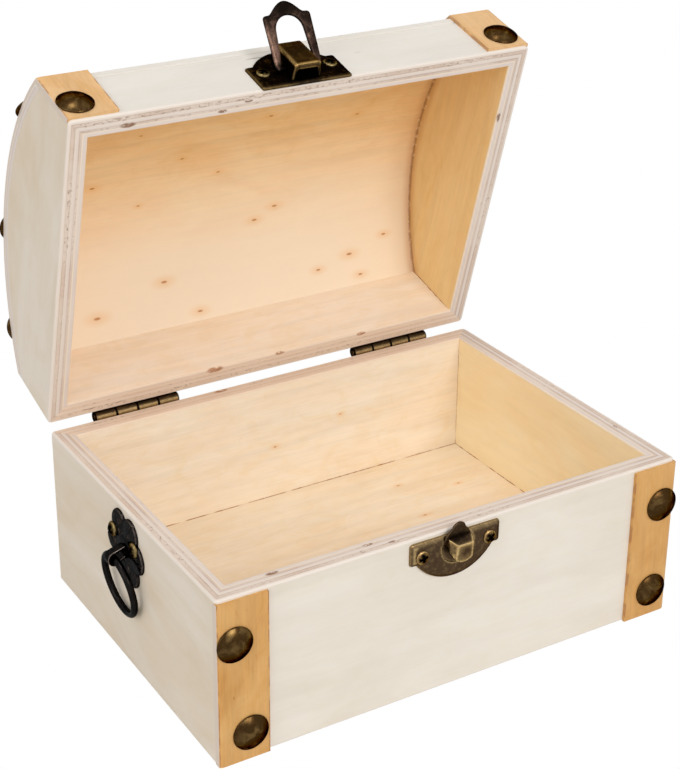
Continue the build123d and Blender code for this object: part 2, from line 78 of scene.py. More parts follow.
# %% Sizes
WIDTH, DEPTH, HEIGHT = 160.0, 113.0, 54.0
PLY, TOP_PLY = 6.5, 2.5
LID_GAP, LID_WALL = 0.1, 23.0
RIM_LID = HEIGHT + LID_GAP
PIN_OUT = 2.0
PIN_Y, PIN_Z = DEPTH / 2 + PIN_OUT, HEIGHT
LID_OPEN = 74.0
DOME_RISE = 19.0
DOME_R = ((DEPTH / 2) ** 2 + DOME_RISE**2) / (2 * DOME_RISE)
DOME_Z = RIM_LID + LID_WALL + DOME_RISE - DOME_R


def turn_about_x(y, z, degrees):
    """A matrix, in millimetres, that turns about a line along X through (y, z)."""
    there = Matrix.Translation((0, y, z))
    return there @ Matrix.Rotation(math.radians(degrees), 4, "X") @ there.inverted()


OPEN_LID = turn_about_x(PIN_Y, PIN_Z, -LID_OPEN)
SHUT_LID = OPEN_LID.inverted()
print("dome radius", round(DOME_R, 2), "mm, its axis at height", round(DOME_Z, 2))

# %% [markdown]
# ## A small shading kit
#
# Each finish is a tree of nodes. It could be wired by hand in the shader editor, or with a line of script
# for every link. `Tree` keeps the wiring short instead: every method adds a node and returns its output,
# so that a finish reads as a few lines. Colours are written as they look on a screen, from 0 to 255.


# %% Colours
def tint(red, green, blue):
    """A screen colour, from 0 to 255, as the linear values that shaders take."""
    shares = [level / 255 for level in (red, green, blue)]
    return tuple(share / 12.92 if share <= 0.04045 else ((share + 0.055) / 1.055) ** 2.4 for share in shares)


print("middle grey is", [round(share, 3) for share in tint(128, 128, 128)], "in a shader")


# %% Wiring
class Wiring:
    """A material's nodes, wired with short calls."""

    def __init__(self, name, roughness=0.5, metallic=0.0):
        """A new material, with the two numbers that are the same all over it."""
        self.material = bpy.data.materials.new(name)
        self.material.use_nodes = True
        self.nodes = self.material.node_tree.nodes
        self.links = self.material.node_tree.links
        self.shader = self.nodes["Principled BSDF"]
        self.shader.inputs["Roughness"].default_value = roughness
        self.shader.inputs["Metallic"].default_value = metallic

    def wire(self, value, socket):
        """Links an output to a socket, or sets the socket to a constant."""
        if isinstance(value, bpy.types.NodeSocket):
            self.links.new(value, socket)
        elif isinstance(value, tuple) and len(value) == 3 and len(socket.default_value) == 4:
            socket.default_value = (*value, 1.0)
        else:
            socket.default_value = value

    def add(self, kind, **settings):
        """Adds a node and returns the node itself."""
        node = self.nodes.new(kind)
        for name, value in settings.items():
            setattr(node, name, value)
        return node


print("the first of the shading kit's three parts is ready")

# %% [markdown]
# ### Places and sums
#
# A finish has to know where it is on the box, since knots and joints are at known places. The coordinates
# of the object could be used as they come, in metres, but millimetres read better. The lid's are turned
# back to where it lies when shut, so that its finishes are written for a lid that lies square on the box.


# %% Places and sums
class Places(Wiring):
    """Adds where things are, and sums on that."""

    def where(self, lid=False):
        """Where a point of the piece is, in millimetres, and for the lid where it is when shut."""
        mapping = self.add("ShaderNodeMapping")
        self.wire(self.add("ShaderNodeTexCoord").outputs["Object"], mapping.inputs["Vector"])
        self.wire((1 / MM, 1 / MM, 1 / MM), mapping.inputs["Scale"])
        if lid:
            self.wire((math.radians(LID_OPEN), 0.0, 0.0), mapping.inputs["Rotation"])
            self.wire(tuple(SHUT_LID.translation), mapping.inputs["Location"])
        return mapping.outputs["Vector"]

    def axes(self, vector):
        """The x, y and z of a vector."""
        node = self.add("ShaderNodeSeparateXYZ")
        self.wire(vector, node.inputs[0])
        return list(node.outputs)

    def stretch(self, vector, *scale):
        """A vector with each axis multiplied by its own scale."""
        node = self.add("ShaderNodeVectorMath", operation="MULTIPLY")
        self.wire(vector, node.inputs[0])
        self.wire(tuple(scale), node.inputs[1])
        return node.outputs[0]

    def math(self, how, first, second=0.0, clamp=False):
        """One sum on two numbers, kept between 0 and 1 if clamp is set."""
        node = self.add("ShaderNodeMath", operation=how, use_clamp=clamp)
        self.wire(first, node.inputs[0])
        self.wire(second, node.inputs[1])
        return node.outputs[0]

    def step(self, value, start, end):
        """0 at start, 1 at end, and smooth between."""
        node = self.add("ShaderNodeMapRange", interpolation_type="SMOOTHSTEP", clamp=True)
        self.wire(value, node.inputs["Value"])
        self.wire(start, node.inputs["From Min"])
        self.wire(end, node.inputs["From Max"])
        return node.outputs["Result"]

    def spot(self, vector, centre, radius, stretch=(1, 1, 1)):
        """1 at a point, and 0 from radius outwards."""
        away = self.add("ShaderNodeVectorMath", operation="SUBTRACT")
        self.wire(vector, away.inputs[0])
        self.wire(tuple(centre), away.inputs[1])
        length = self.add("ShaderNodeVectorMath", operation="LENGTH")
        self.wire(self.stretch(away.outputs[0], *stretch), length.inputs[0])
        return self.step(length.outputs["Value"], radius, 0.0)


print("a metre is", 1 / MM, "of the shader's millimetres")

# %% [markdown]
# ### Patterns and colours
#
# The last part makes noise, turns numbers into colours and ends the tree. Each method stands for one node
# that a reader can find in the shader editor under nearly the same name.

# %% Patterns and colours
MIX_SHARE, MIX_FIRST, MIX_SECOND, MIX_RESULT = 0, 6, 7, 2  # the Mix node's sockets for colours


class Tree(Places):
    """The whole kit: wiring, places, patterns and colours."""

    def noise(self, vector, size, detail=3.0, rough=0.5, twist=0.0):
        """Smooth noise whose lumps are about size millimetres long."""
        node = self.add("ShaderNodeTexNoise")
        self.wire(vector, node.inputs["Vector"])
        self.wire(1.0 / size, node.inputs["Scale"])
        self.wire(detail, node.inputs["Detail"])
        self.wire(rough, node.inputs["Roughness"])
        self.wire(twist, node.inputs["Distortion"])
        return node.outputs["Fac"]

    def ramp(self, value, *stops):
        """Colours, or greys, at positions along a value."""
        node = self.add("ShaderNodeValToRGB")
        self.wire(value, node.inputs["Fac"])
        elements = node.color_ramp.elements
        while len(elements) < len(stops):
            elements.new(0.5)
        for element, (position, colour) in zip(elements, stops):
            element.position = position
            element.color = (*colour, 1.0) if isinstance(colour, tuple) else (colour, colour, colour, 1.0)
        return node.outputs["Color"]

    def mix(self, share, first, second, how="MIX"):
        """The first colour at share 0, and the second at 1."""
        node = self.add("ShaderNodeMix", data_type="RGBA", blend_type=how, clamp_factor=True)
        self.wire(share, node.inputs[MIX_SHARE])
        self.wire(first, node.inputs[MIX_FIRST])
        self.wire(second, node.inputs[MIX_SECOND])
        return node.outputs[MIX_RESULT]

    def bump(self, height, strength, reach_mm):
        """Makes the surface look as if it rose by up to reach_mm where height is 1."""
        node = self.add("ShaderNodeBump")
        self.wire(height, node.inputs["Height"])
        self.wire(strength, node.inputs["Strength"])
        self.wire(reach_mm * MM, node.inputs["Distance"])
        self.wire(node.outputs["Normal"], self.shader.inputs["Normal"])

    def finish(self, colour, roughness=None):
        """Wires the last colour to the shader and returns the material."""
        self.wire(colour, self.shader.inputs["Base Color"])
        if roughness is not None:
            self.wire(roughness, self.shader.inputs["Roughness"])
        return self.material


print("shading kit ready")

# %% [markdown]
# ## Plywood
#
# A board shows three faces. Outside it has a thin whitewash with a little grain in it. Inside it is bare
# veneer. On its rim the plies alternate: pale long grain, and pinkish end grain with brown flecks between
# fine glue lines. Where boards meet inside the box there is a dark hairline.
#
# Each face could have a material of its own, but then the mesh would need its faces sorted. One material
# per board can tell by itself which face it is on, because it knows how deep in the board a point lies. A
# board's colours come in pairs, a darker and a lighter one, and the veneer drifts between the two.

# %% Plywood colours
WHITEWASH = (tint(227, 218, 204), tint(233, 226, 214))
WHITEWASH_END = (tint(223, 207, 183), tint(232, 221, 206))
# Painted light: the lid's whitewash is a whiter, cooler copy of the front's, as if lit from above where the
# open lid faces up.
WHITEWASH_LIT_FROM_ABOVE = (tint(228, 222, 213), tint(233, 228, 220))
BARE = (tint(246, 226, 198), tint(250, 236, 214))
BARE_LID = (tint(245, 199, 136), tint(250, 216, 163))
# Painted light: the lid back wall's veneer is paler, as the open lid is lit more low down at its back.
BARE_LID_BACK_LIT = (tint(250, 230, 206), tint(253, 241, 226))
BARE_END = (tint(243, 208, 146), tint(247, 218, 162))
BARE_RIGHT = (tint(252, 229, 184), tint(253, 237, 200))
BARE_BACK = (tint(249, 231, 207), tint(252, 240, 222))
PALE_PLY = tint(231, 220, 209)
LILAC_PLY = tint(223, 210, 203)
TAN_PLY = tint(216, 197, 182)
CREAM_PLY = tint(240, 225, 202)
GLUE_LINE = tint(193, 168, 150)
# Painted light: a paler, warmer ply colour that lightens rims lying in the lid's shade.
LIT_WARM_PLY = tint(243, 214, 186)
FLECK = tint(124, 80, 40)
WARM_FLECK = tint(168, 104, 52)
HAIRLINE = tint(172, 118, 54)
WOOD_ROUGHNESS = 0.62
print("whitewash is", [round(share, 3) for share in WHITEWASH[0]], "in a shader")

# %% [markdown]
# ### Veneer
#
# Veneer is peeled off a turning log, so its figure is soft and cloudy, and all of it runs one way. A
# scanned picture would repeat and stretch over the edges. Noise that is drawn out along the grain
# doesn't: four sizes of it, from broad clouds to fine fibres, are laid over each other.

# %% Veneer
GOLDEN_LOSS = (0.025, 0.06, 0.135)  # what a golden curl takes from red, green and blue
print("a golden curl keeps", [round(1.0 - loss, 3) for loss in GOLDEN_LOSS], "of the colour")


def squeezed(along, share):
    """Axis scales that draw a pattern out along the grain."""
    return [share if axis == along else 1.0 for axis in range(3)]


def stretched(tree, where, along, share):
    """Coordinates drawn out along the grain."""
    return tree.stretch(where, *squeezed(along, share))


def veneer(tree, where, along, colours, contrast=1.0):
    """Clouds, golden curls, a few long streaks and fine fibres, all drawn out along one axis."""
    cloud = tree.noise(stretched(tree, where, along, 0.35), size=22.0, twist=1.2)
    curl = tree.noise(stretched(tree, where, along, 0.55), size=8.0, detail=4.0, rough=0.65, twist=1.4)
    streak = tree.noise(stretched(tree, where, along, 0.05), size=3.5, twist=0.3)
    fibre = tree.noise(stretched(tree, where, along, 0.06), size=0.7, rough=0.6)
    base = tree.ramp(cloud, (0.34, colours[0]), (0.66, colours[1]))
    golden = tuple(1.0 - loss * contrast for loss in GOLDEN_LOSS)
    curled = tree.mix(1.0, base, tree.ramp(curl, (0.46, (1.0, 1.0, 1.0)), (0.68, golden)), "MULTIPLY")
    dim = 1.0 - 0.05 * contrast
    streaked = tree.mix(1.0, curled, tree.ramp(streak, (0.32, dim), (0.55, 1.0)), "MULTIPLY")
    return tree.mix(1.0, streaked, tree.ramp(fibre, (0.30, dim), (0.62, 1.0)), "MULTIPLY"), fibre


# %% [markdown]
# ### The rim of a board
#
# Sawn plywood shows its layers as stripes, and the saw tears brown crumbs out of the layers that it
# crosses. The stripes could be cut into the mesh as thin slabs. They are flush, though, so a ramp across
# the board's thickness is enough, made a little wavy along its length.

# %% Plies
PLY_STRIPES = (
    (0.0, PALE_PLY), (0.14, PALE_PLY), (0.17, GLUE_LINE),
    (0.2, TAN_PLY), (0.31, TAN_PLY), (0.35, GLUE_LINE),
    (0.39, PALE_PLY), (0.54, LILAC_PLY), (0.58, GLUE_LINE),
    (0.62, TAN_PLY), (0.69, TAN_PLY), (0.73, CREAM_PLY),
    (0.79, LILAC_PLY), (0.92, LILAC_PLY), (0.96, CREAM_PLY), (1.0, CREAM_PLY),
)
END_GRAIN = ((0.17, 0.0), (0.24, 1.0), (0.36, 1.0), (0.42, 0.0), (0.58, 0.0), (0.63, 0.8), (0.71, 0.0))
WAVE_SHARE = 0.09  # how far the stripes wander, as a share of the board's thickness
print("plies and glue lines:", len(PLY_STRIPES), "colour stops")


def plies(tree, where, along, across, torn=0.0, warm=0.0):
    """The edge of the board. across runs from 0 at the outer face to 1 at the inner one.

    torn adds brown crumbs of end grain, and warm turns the plies paler and warmer, towards the colour of the
    bare wood: painted light on rims that lie in the lid's shade."""
    wave = tree.noise(stretched(tree, where, along, 0.1), size=5.0, detail=2.0)
    crumbs = tree.noise(stretched(tree, where, along, 0.45), size=0.75, detail=4.0, rough=0.75)
    patches = tree.noise(where, size=17.0, detail=2.0)
    shifted = tree.math("ADD", across, tree.math("MULTIPLY", tree.math("SUBTRACT", wave, 0.5), WAVE_SHARE))
    stripes = tree.ramp(shifted, *PLY_STRIPES)
    faded = tree.mix(tree.math("MULTIPLY", tree.step(patches, 0.36, 0.62), 0.5), stripes, PALE_PLY)
    # Painted light: warm lightens the rim, to make up for the lid's shade on it.
    toned = tree.mix(warm, faded, LIT_WARM_PLY)
    crumbly = tree.math("MULTIPLY", tree.step(crumbs, 0.5, 0.64), tree.ramp(shifted, *END_GRAIN))
    rough = tree.math("MULTIPLY", crumbly, tree.step(patches, 0.55 - 0.3 * torn, 0.66 - 0.2 * torn))
    dusty = tree.mix(tree.math("MULTIPLY", crumbly, 0.2), toned, FLECK)
    return tree.mix(tree.math("MULTIPLY", rough, 0.6), dusty, FLECK), crumbs


# %% [markdown]
# ### Knots, marks and joints
#
# What makes a box look real is what went wrong with it: pin knots, torn spots on the rim, stains where
# glue came out of a joint. Each one could be painted on a picture. Here it is a soft spot at a point in
# millimetres, so it stays sharp from any distance and moves with the lid.

# %% Knots and marks
KNOT_HALO, KNOT_HEART = tint(236, 180, 104), tint(184, 112, 32)
print("a knot's heart is", [round(share, 3) for share in KNOT_HEART], "in a shader")


def knot(tree, where, colour, along, centre, radius):
    """A pin knot: a small brown dash in a faint warm halo, both drawn out along the grain."""
    halo = tree.spot(where, centre, radius * 3.6, squeezed(along, 0.5))
    heart = tree.spot(where, centre, radius * 0.8, squeezed(along, 0.4))
    warm = tree.mix(tree.math("MULTIPLY", halo, 0.4), colour, KNOT_HALO)
    return tree.mix(tree.math("MULTIPLY", tree.step(heart, 0.1, 0.7), 0.8), warm, KNOT_HEART)


def bruise(tree, where, colour, along, centre, size, brown):
    """A cluster of dark crumbs, drawn out along the grain."""
    area = tree.step(tree.spot(where, centre, size, squeezed(along, 0.35)), 0.0, 0.5)
    torn = tree.noise(stretched(tree, where, along, 0.5), size=0.8, rough=0.7)
    crumbs = tree.step(torn, 0.34, 0.5)
    return tree.mix(tree.math("MULTIPLY", tree.math("MULTIPLY", area, crumbs), 0.85), colour, brown)


# %% Joints
JOINT_BROWN, GLUE_DARK, GLUE_DROP = tint(204, 146, 84), tint(158, 104, 52), tint(236, 204, 156)
print("the bent top's inner face is", round(DOME_R - TOP_PLY, 2), "mm from the dome's axis")


def dome_radius(tree, y, z):
    """The distance from the axis of the dome, in millimetres."""
    lift = tree.math("SUBTRACT", z, DOME_Z)
    return tree.math("SQRT", tree.math("ADD", tree.math("MULTIPLY", y, y), tree.math("MULTIPLY", lift, lift)))


def glue_joint(tree, where, colour, gap):
    """A soft brown band that deepens towards the joint, a ragged dark line and pale drops of glue. gap is 0
    at the joint.
    """
    browned_wood = tree.mix(tree.math("MULTIPLY", tree.step(gap, 4.2, 0.0), 0.45), colour, JOINT_BROWN)
    ragged = tree.math("MULTIPLY", tree.noise(where, size=2.6, rough=0.6), 1.5)
    line = tree.step(tree.math("SUBTRACT", gap, ragged), 0.1, -0.5)
    lined = tree.mix(tree.math("MULTIPLY", line, 0.55), browned_wood, GLUE_DARK)
    beads = tree.step(tree.noise(where, size=1.7, detail=1.0), 0.6, 0.68)
    drops = tree.math("MULTIPLY", beads, tree.step(gap, 1.7, 0.9))
    return tree.mix(tree.math("MULTIPLY", drops, 0.8), lined, GLUE_DROP)


def hairline(tree, where, colour, axes, joint, width):
    """A dark broken line where a board meets another, at place on an axis. joint is (axis, place).

    A negative place stands for both sides of the box."""
    axis, place = joint
    value = tree.math("ABSOLUTE", axes[axis]) if place < 0 else axes[axis]
    gap = tree.math("ABSOLUTE", tree.math("SUBTRACT", value, abs(place)))
    ragged = tree.math("MULTIPLY", tree.noise(where, size=2.2, detail=2.0), 1.5 * width)
    line = tree.step(tree.math("SUBTRACT", gap, ragged), 0.0, -0.35 * width)
    broken = tree.step(tree.noise(where, size=7.0, detail=1.0), 0.3, 0.46)
    return tree.mix(tree.math("MULTIPLY", tree.math("MULTIPLY", line, broken), 0.9), colour, HAIRLINE)


# %% [markdown]
# ### Boards
#
# Eight walls share one recipe, and differ in where their faces lie, which way their grain runs and what
# marks they have. Eight copies of the recipe would drift apart with every change, so `board` is one
# function, and the differences are its arguments.

# %% Boards
RIM_FADE, RIM_FULL = 0.75, 0.45  # how far from a rim its stripes begin, and where they are full
SCRATCH = tint(128, 112, 94)
WARM_BOARD = 0.2  # boards warmer than this have warmer marks too


def outer_to_inner(tree, across):
    """0 on a sheet's outer face and 1 on its inner one, with the change in the middle of its thickness."""
    return tree.step(across, 0.45, 0.55)


def board(name, normal_axis, outer, along, lid=False, joints=(), knots=(), bare=None, wash=WHITEWASH,
          marks=(), scratches=(), torn=0.0, warm=0.0, grain=1.0):
    """The finish of a wall whose outer face lies at outer, in millimetres, on normal_axis.

    joints and knots are on its inner face, marks of (x, y, size) on its rim, scratches on its outer face."""
    tree = Tree(name, WOOD_ROUGHNESS)
    where = tree.where(lid)
    axes = tree.axes(where)
    distance = tree.math("ABSOLUTE", axes[normal_axis])
    across = tree.math("DIVIDE", tree.math("SUBTRACT", outer, distance), PLY)
    outside, _ = veneer(tree, where, along, wash, 0.35)
    for centre, length in scratches:
        scratch = tree.step(tree.spot(where, centre, length, (1.0, 1.0, 14.0)), 0.0, 0.5)
        outside = tree.mix(tree.math("MULTIPLY", scratch, 0.7), outside, SCRATCH)
    inside, _ = veneer(tree, where, along, bare or (BARE_LID if lid else BARE), grain)
    if lid and normal_axis == 0:
        gap = tree.math("SUBTRACT", DOME_R - TOP_PLY, dome_radius(tree, axes[1], axes[2]))
        inside = glue_joint(tree, where, inside, gap)
    for centre, radius in knots:
        inside = knot(tree, where, inside, along, centre, radius)
    for value, width in joints:
        inside = hairline(tree, where, inside, axes, value, width)
    edge, crumbs = plies(tree, where, along, across, torn, warm)
    for x, y, size in marks:
        centre = (x, y, RIM_LID if lid else HEIGHT)
        edge = bruise(tree, where, edge, along, centre, size, WARM_FLECK if warm > WARM_BOARD else FLECK)
    side = tree.mix(outer_to_inner(tree, across), outside, inside)
    if lid:
        rim = tree.step(axes[2], RIM_LID + RIM_FADE, RIM_LID + RIM_FULL)
    else:
        upper = tree.step(axes[2], HEIGHT - RIM_FADE, HEIGHT - RIM_FULL)
        rim = tree.math("ADD", upper, tree.step(axes[2], RIM_FADE, RIM_FULL), clamp=True)
    tree.bump(tree.math("MULTIPLY", crumbs, rim), 0.25, 0.12)
    return tree.finish(tree.mix(rim, side, edge))


# %% The box's boards
FLOOR_TOP = 11.7
INNER_X, INNER_Y = WIDTH / 2 - PLY, DEPTH / 2 - PLY
FLOOR_JOINT, CORNER_JOINT = ((2, FLOOR_TOP), 0.3), ((0, -INNER_X), 0.25)
ALONG_X, ALONG_Y = (1, DEPTH / 2, 0), (0, WIDTH / 2, 1)  # a wall's normal axis, outer face and grain

dressed = {
    "box_front_wall": board(
        "front wall wood", *ALONG_X, joints=[FLOOR_JOINT],
        marks=[(-59.8, -51.6, 1.0), (-22.4, -54.2, 0.6), (-29.4, -52.2, 0.9)]),
    # warm=0.5 lightens this rim, painted light against the shade of the open lid.
    "box_back_wall": board(
        "back wall wood", *ALONG_X, joints=[FLOOR_JOINT, CORNER_JOINT], bare=BARE_BACK, warm=0.5,
        marks=[(-19.5, 55.0, 1.2)], knots=[((-1.8, INNER_Y, 30.5), 0.5), ((24.1, INNER_Y, 36.4), 0.4)]),
    "box_left_wall": board("left wall wood", *ALONG_Y, joints=[FLOOR_JOINT], wash=WHITEWASH_END),
    "box_right_wall": board(
        "right wall wood", *ALONG_Y, joints=[FLOOR_JOINT], bare=BARE_RIGHT, wash=WHITEWASH_END, grain=0.55,
        marks=[(77.4, -31.0, 0.5)]),
}
print("box walls:", len(dressed))

# %% The lid's boards
LID_CORNER_JOINT = ((0, INNER_X), 0.45)

# The lid front takes the whitewash that is painted as lit from above.
dressed["lid_front_wall"] = board(
    "lid front wood", *ALONG_X, lid=True, wash=WHITEWASH_LIT_FROM_ABOVE, torn=1.0,
    marks=[(-22.3, -53.6, 0.7), (-30.7, -51.5, 0.8), (-61.4, -52.2, 1.2)],
    scratches=[((-11.0, -DEPTH / 2, 71.6), 5.0), ((22.2, -DEPTH / 2, 66.2), 1.5)])
# warm=0.5 lightens this rim too, painted light as on the box's back wall.
dressed["lid_back_wall"] = board(
    "lid back wood", *ALONG_X, lid=True, bare=BARE_LID_BACK_LIT, warm=0.5, torn=0.4, joints=[LID_CORNER_JOINT],
    marks=[(-20.8, 50.7, 1.5), (3.9, 50.3, 0.9), (36.2, 50.6, 0.9)])
# warm=0.1 lightens this rim a little, painted light as on the back walls.
dressed["lid_left_wall"] = board("lid left end wood", *ALONG_Y, lid=True, wash=WHITEWASH_END, warm=0.1)
dressed["lid_right_wall"] = board(
    "lid right end wood", *ALONG_Y, lid=True, bare=BARE_END, wash=WHITEWASH_END, marks=[(74.2, -30.8, 0.9)])
print("with the lid's walls:", len(dressed))

# %% [markdown]
# ### The bent top and the floor
#
# The lid's top is one thin sheet, bent over its ends while damp. A flat recipe would shear on it, so its
# depth is measured from the axis of the dome. It is painted palest low down at the back and golden near
# the front, which is painted light, as the open lid is lit more low down. It has more knots than any wall.
# The floor is thin too, and only its upper face is ever seen.

# %% The bent top
# Painted light: the lid's inside is paler towards its back, which hangs low when the lid is open and is lit
# more.
PALE_BACK_LIT = tint(249, 232, 209)
LID_KNOTS = [
    (-37.2, -21.3, 0.5), (-20.2, -8.0, 0.6), (-5.8, 0.2, 0.55), (-51.6, -2.4, 0.75),
    (-34.6, 7.7, 0.5), (9.5, 21.4, 0.8), (-25.7, 36.1, 0.9), (-51.2, 42.9, 1.0),
    (-13.6, 47.3, 0.8), (10.3, -20.2, 0.7), (45.4, -14.1, 0.6), (17.3, 17.7, 0.8),
    (62.0, 35.8, 0.7), (47.2, 40.0, 0.9), (34.0, 42.9, 0.7), (50.9, 47.1, 0.7),
]
TOP_STRIPES = ((0.0, PALE_PLY), (0.2, PALE_PLY), (0.35, TAN_PLY), (0.5, LILAC_PLY), (1.0, PALE_PLY))


def bent_top():
    """The lid's sheet: whitewash outside, bare and knotty inside, and two thin plies at its ends."""
    tree = Tree("bent top wood", WOOD_ROUGHNESS)
    where = tree.where(lid=True)
    x, y, z = tree.axes(where)
    across = tree.math("DIVIDE", tree.math("SUBTRACT", DOME_R, dome_radius(tree, y, z)), TOP_PLY)
    # Outside, the whitewash is painted as lit from above, as on the lid front.
    outside, _ = veneer(tree, where, 0, WHITEWASH_LIT_FROM_ABOVE, 0.35)
    inside, _ = veneer(tree, where, 0, BARE_LID, 1.3)
    # Painted light: paler towards the back, where the open lid is lit more.
    inside = tree.mix(tree.math("MULTIPLY", tree.step(y, -22.0, 40.0), 0.9), inside, PALE_BACK_LIT)
    for knot_x, knot_y, size in LID_KNOTS:
        height = DOME_Z + math.sqrt((DOME_R - TOP_PLY) ** 2 - knot_y * knot_y)
        inside = knot(tree, where, inside, 0, (knot_x, knot_y, height), size)
    side_distance = tree.math("ABSOLUTE", x)
    inside = glue_joint(tree, where, inside, tree.math("SUBTRACT", INNER_X, side_distance))
    side = tree.mix(outer_to_inner(tree, across), outside, inside)
    end = tree.step(side_distance, WIDTH / 2 - 0.6, WIDTH / 2 - 0.3)
    ended = tree.mix(end, side, tree.ramp(across, *TOP_STRIPES))
    foot = tree.step(tree.math("ABSOLUTE", y), DEPTH / 2 - 2.4, DEPTH / 2 - 2.0)
    return tree.finish(tree.mix(foot, ended, outside))


dressed["lid_top"] = bent_top()
print("knots in the bent top:", len(LID_KNOTS))

# %% The floor
FLOOR_KNOTS = [(38.4, 34.3, 0.5), (57.6, 25.3, 0.5), (35.3, 12.9, 0.6)]


def thin_floor():
    """The floor: bare veneer with a hairline all round."""
    tree = Tree("floor wood", WOOD_ROUGHNESS)
    where = tree.where()
    axes = tree.axes(where)
    inside, _ = veneer(tree, where, 0, BARE)
    for x, y, size in FLOOR_KNOTS:
        inside = knot(tree, where, inside, 0, (x, y, FLOOR_TOP), size)
    for joint in ((0, -INNER_X), (1, -INNER_Y)):
        inside = hairline(tree, where, inside, axes, joint, 0.3)
    return tree.finish(inside)


dressed["box_floor"] = thin_floor()
print("boards:", len(dressed))

# %% [markdown]
# ## Stained straps
#
# Thin strips of soft wood in an amber stain, glued on like the iron bands of a sea chest. The grain runs
# up the front ones and over the dome on the others. The stain soaks into the pores and dries darkest
# along the sides, so both are drawn. The sides themselves were cut after staining and are pale, which a
# single flat colour would lose.

# %% Straps
STRAP_WIDTH = 16.0
STAIN = (tint(206, 150, 78), tint(222, 172, 104))
# Painted light: the lid's straps take a paler copy of the stain, as if lit from above when the lid is open.
STAIN_LIT_FROM_ABOVE = (tint(222, 174, 114), tint(236, 194, 142))
PORE, DASH = tint(172, 112, 54), tint(140, 84, 40)
DRIED_STAIN, CUT_WOOD = tint(150, 92, 56), tint(218, 202, 186)
DRIED_LINES = (WIDTH / 2 - 0.22, WIDTH / 2 - STRAP_WIDTH + 0.14)


def stained(name, along, lid=False):
    """Stain on a strap's face, pale wood on its cut sides, and a thin dark line where they meet."""
    tree = Tree(name, roughness=0.55)
    where = tree.where(lid)
    # On the lid the stain is the paler copy, painted light from above.
    base, fibre = veneer(tree, where, along, STAIN_LIT_FROM_ABOVE if lid else STAIN, 1.9)
    pores = tree.step(tree.noise(stretched(tree, where, along, 0.25), size=0.6, rough=0.7), 0.6, 0.76)
    dashes = tree.step(tree.noise(stretched(tree, where, along, 0.4), 2.4, detail=1.0, rough=0.4), 0.74, 0.8)
    face = tree.mix(tree.math("MULTIPLY", pores, 0.35), base, PORE)
    face = tree.mix(tree.math("MULTIPLY", dashes, 0.7), face, DASH)
    side = tree.math("ABSOLUTE", tree.axes(where)[0])
    ragged = tree.math("MULTIPLY", tree.step(tree.noise(where, size=4.0, detail=2.0), 0.38, 0.6), 0.75)
    for line in DRIED_LINES:
        near = tree.step(tree.math("ABSOLUTE", tree.math("SUBTRACT", side, line)), 0.26, 0.05)
        face = tree.mix(tree.math("MULTIPLY", near, ragged), face, DRIED_STAIN)
    cut = tree.step(side, WIDTH / 2 - 0.12, WIDTH / 2 - 0.02)
    tree.bump(fibre, 0.2, 0.1)
    return tree.finish(tree.mix(cut, face, CUT_WOOD))


straps = [name for name in nodes if name.endswith("_strap")]
for name in straps:
    dressed[name] = stained(name + " stain", 1 if "top" in name else 2, lid=name.startswith("lid"))
print("straps:", len(straps))

# %% [markdown]
# ## Antique brass and bronze
#
# The hardware is plated and then darkened. Where hands and rag have rubbed it, on domes and along edges,
# the yellow metal comes back. A shader can find edges by itself, but only roughly, and not every renderer
# can. So each mesh carries its own tone, a number at every point, and the shader only mixes dark and
# yellow metal by it. A high tone is that wear and also painted highlight: light lines along edges and lips,
# and the lit sides of parts. A low tone is painted shade with some dirt, near black in crosses, hollows,
# gaps and valleys.

# %% Metals
# Near black, for painted shade with some dirt in hollows and gaps.
SHADE_AND_DIRT = tint(16, 13, 10)


def antique(name, dark, gold, wear, roughness=(0.3, 0.5), rim=tint(110, 92, 72), patch=2.6, lacquer=0.0):
    """Darkened brass. wear is from 0, all dark, to 1, all yellow from rubbing, and rim is its colour when
    seen edge on.

    The mesh attribute "tone" is 1 for wear and painted highlight on edges, and -1 for painted shade with some
    dirt."""
    tree = Tree(name, metallic=1.0)
    tree.wire(rim, tree.shader.inputs["Specular Tint"])
    tree.wire(lacquer, tree.shader.inputs["Coat Weight"])
    tree.wire(0.16, tree.shader.inputs["Coat Roughness"])
    where = tree.where()
    cloud = tree.noise(where, size=patch, detail=5.0, rough=0.62, twist=0.6)
    speck = tree.noise(where, size=0.45, rough=0.65)
    tone = tree.add("ShaderNodeAttribute", attribute_name="tone").outputs["Fac"]
    patchy = tree.step(speck, 0.22, 0.5)
    # Wear and painted highlight: a high tone turns the metal yellow.
    wear_and_sheen = tree.math("MULTIPLY", tree.math("MAXIMUM", tone, 0.0), patchy)
    hazy = tree.math("MULTIPLY", tree.step(cloud, 0.45, 0.8), wear)
    share = tree.math("ADD", hazy, wear_and_sheen, clamp=True)
    fine = tree.ramp(speck, (0.3, 0.72), (0.6, 1.0))
    colour = tree.mix(1.0, tree.mix(share, dark, gold), fine, "MULTIPLY")
    # Painted shade: a low tone darkens the metal to near black.
    shade_and_dirt = tree.math("MULTIPLY", tone, -1.0, clamp=True)
    tree.bump(speck, 0.15, 0.06)
    rough = tree.mix(cloud, (roughness[0],) * 3, (roughness[1],) * 3)
    return tree.finish(tree.mix(shade_and_dirt, colour, SHADE_AND_DIRT), rough)


# %% The metals of this box
NAIL_BRASS = antique("nail brass", tint(68, 48, 25), tint(176, 144, 90), 0.42, (0.2, 0.34), patch=4.0)
CATCH_BRONZE = antique("catch bronze", tint(82, 65, 49), tint(206, 176, 122), 0.22, (0.3, 0.45), patch=1.8)
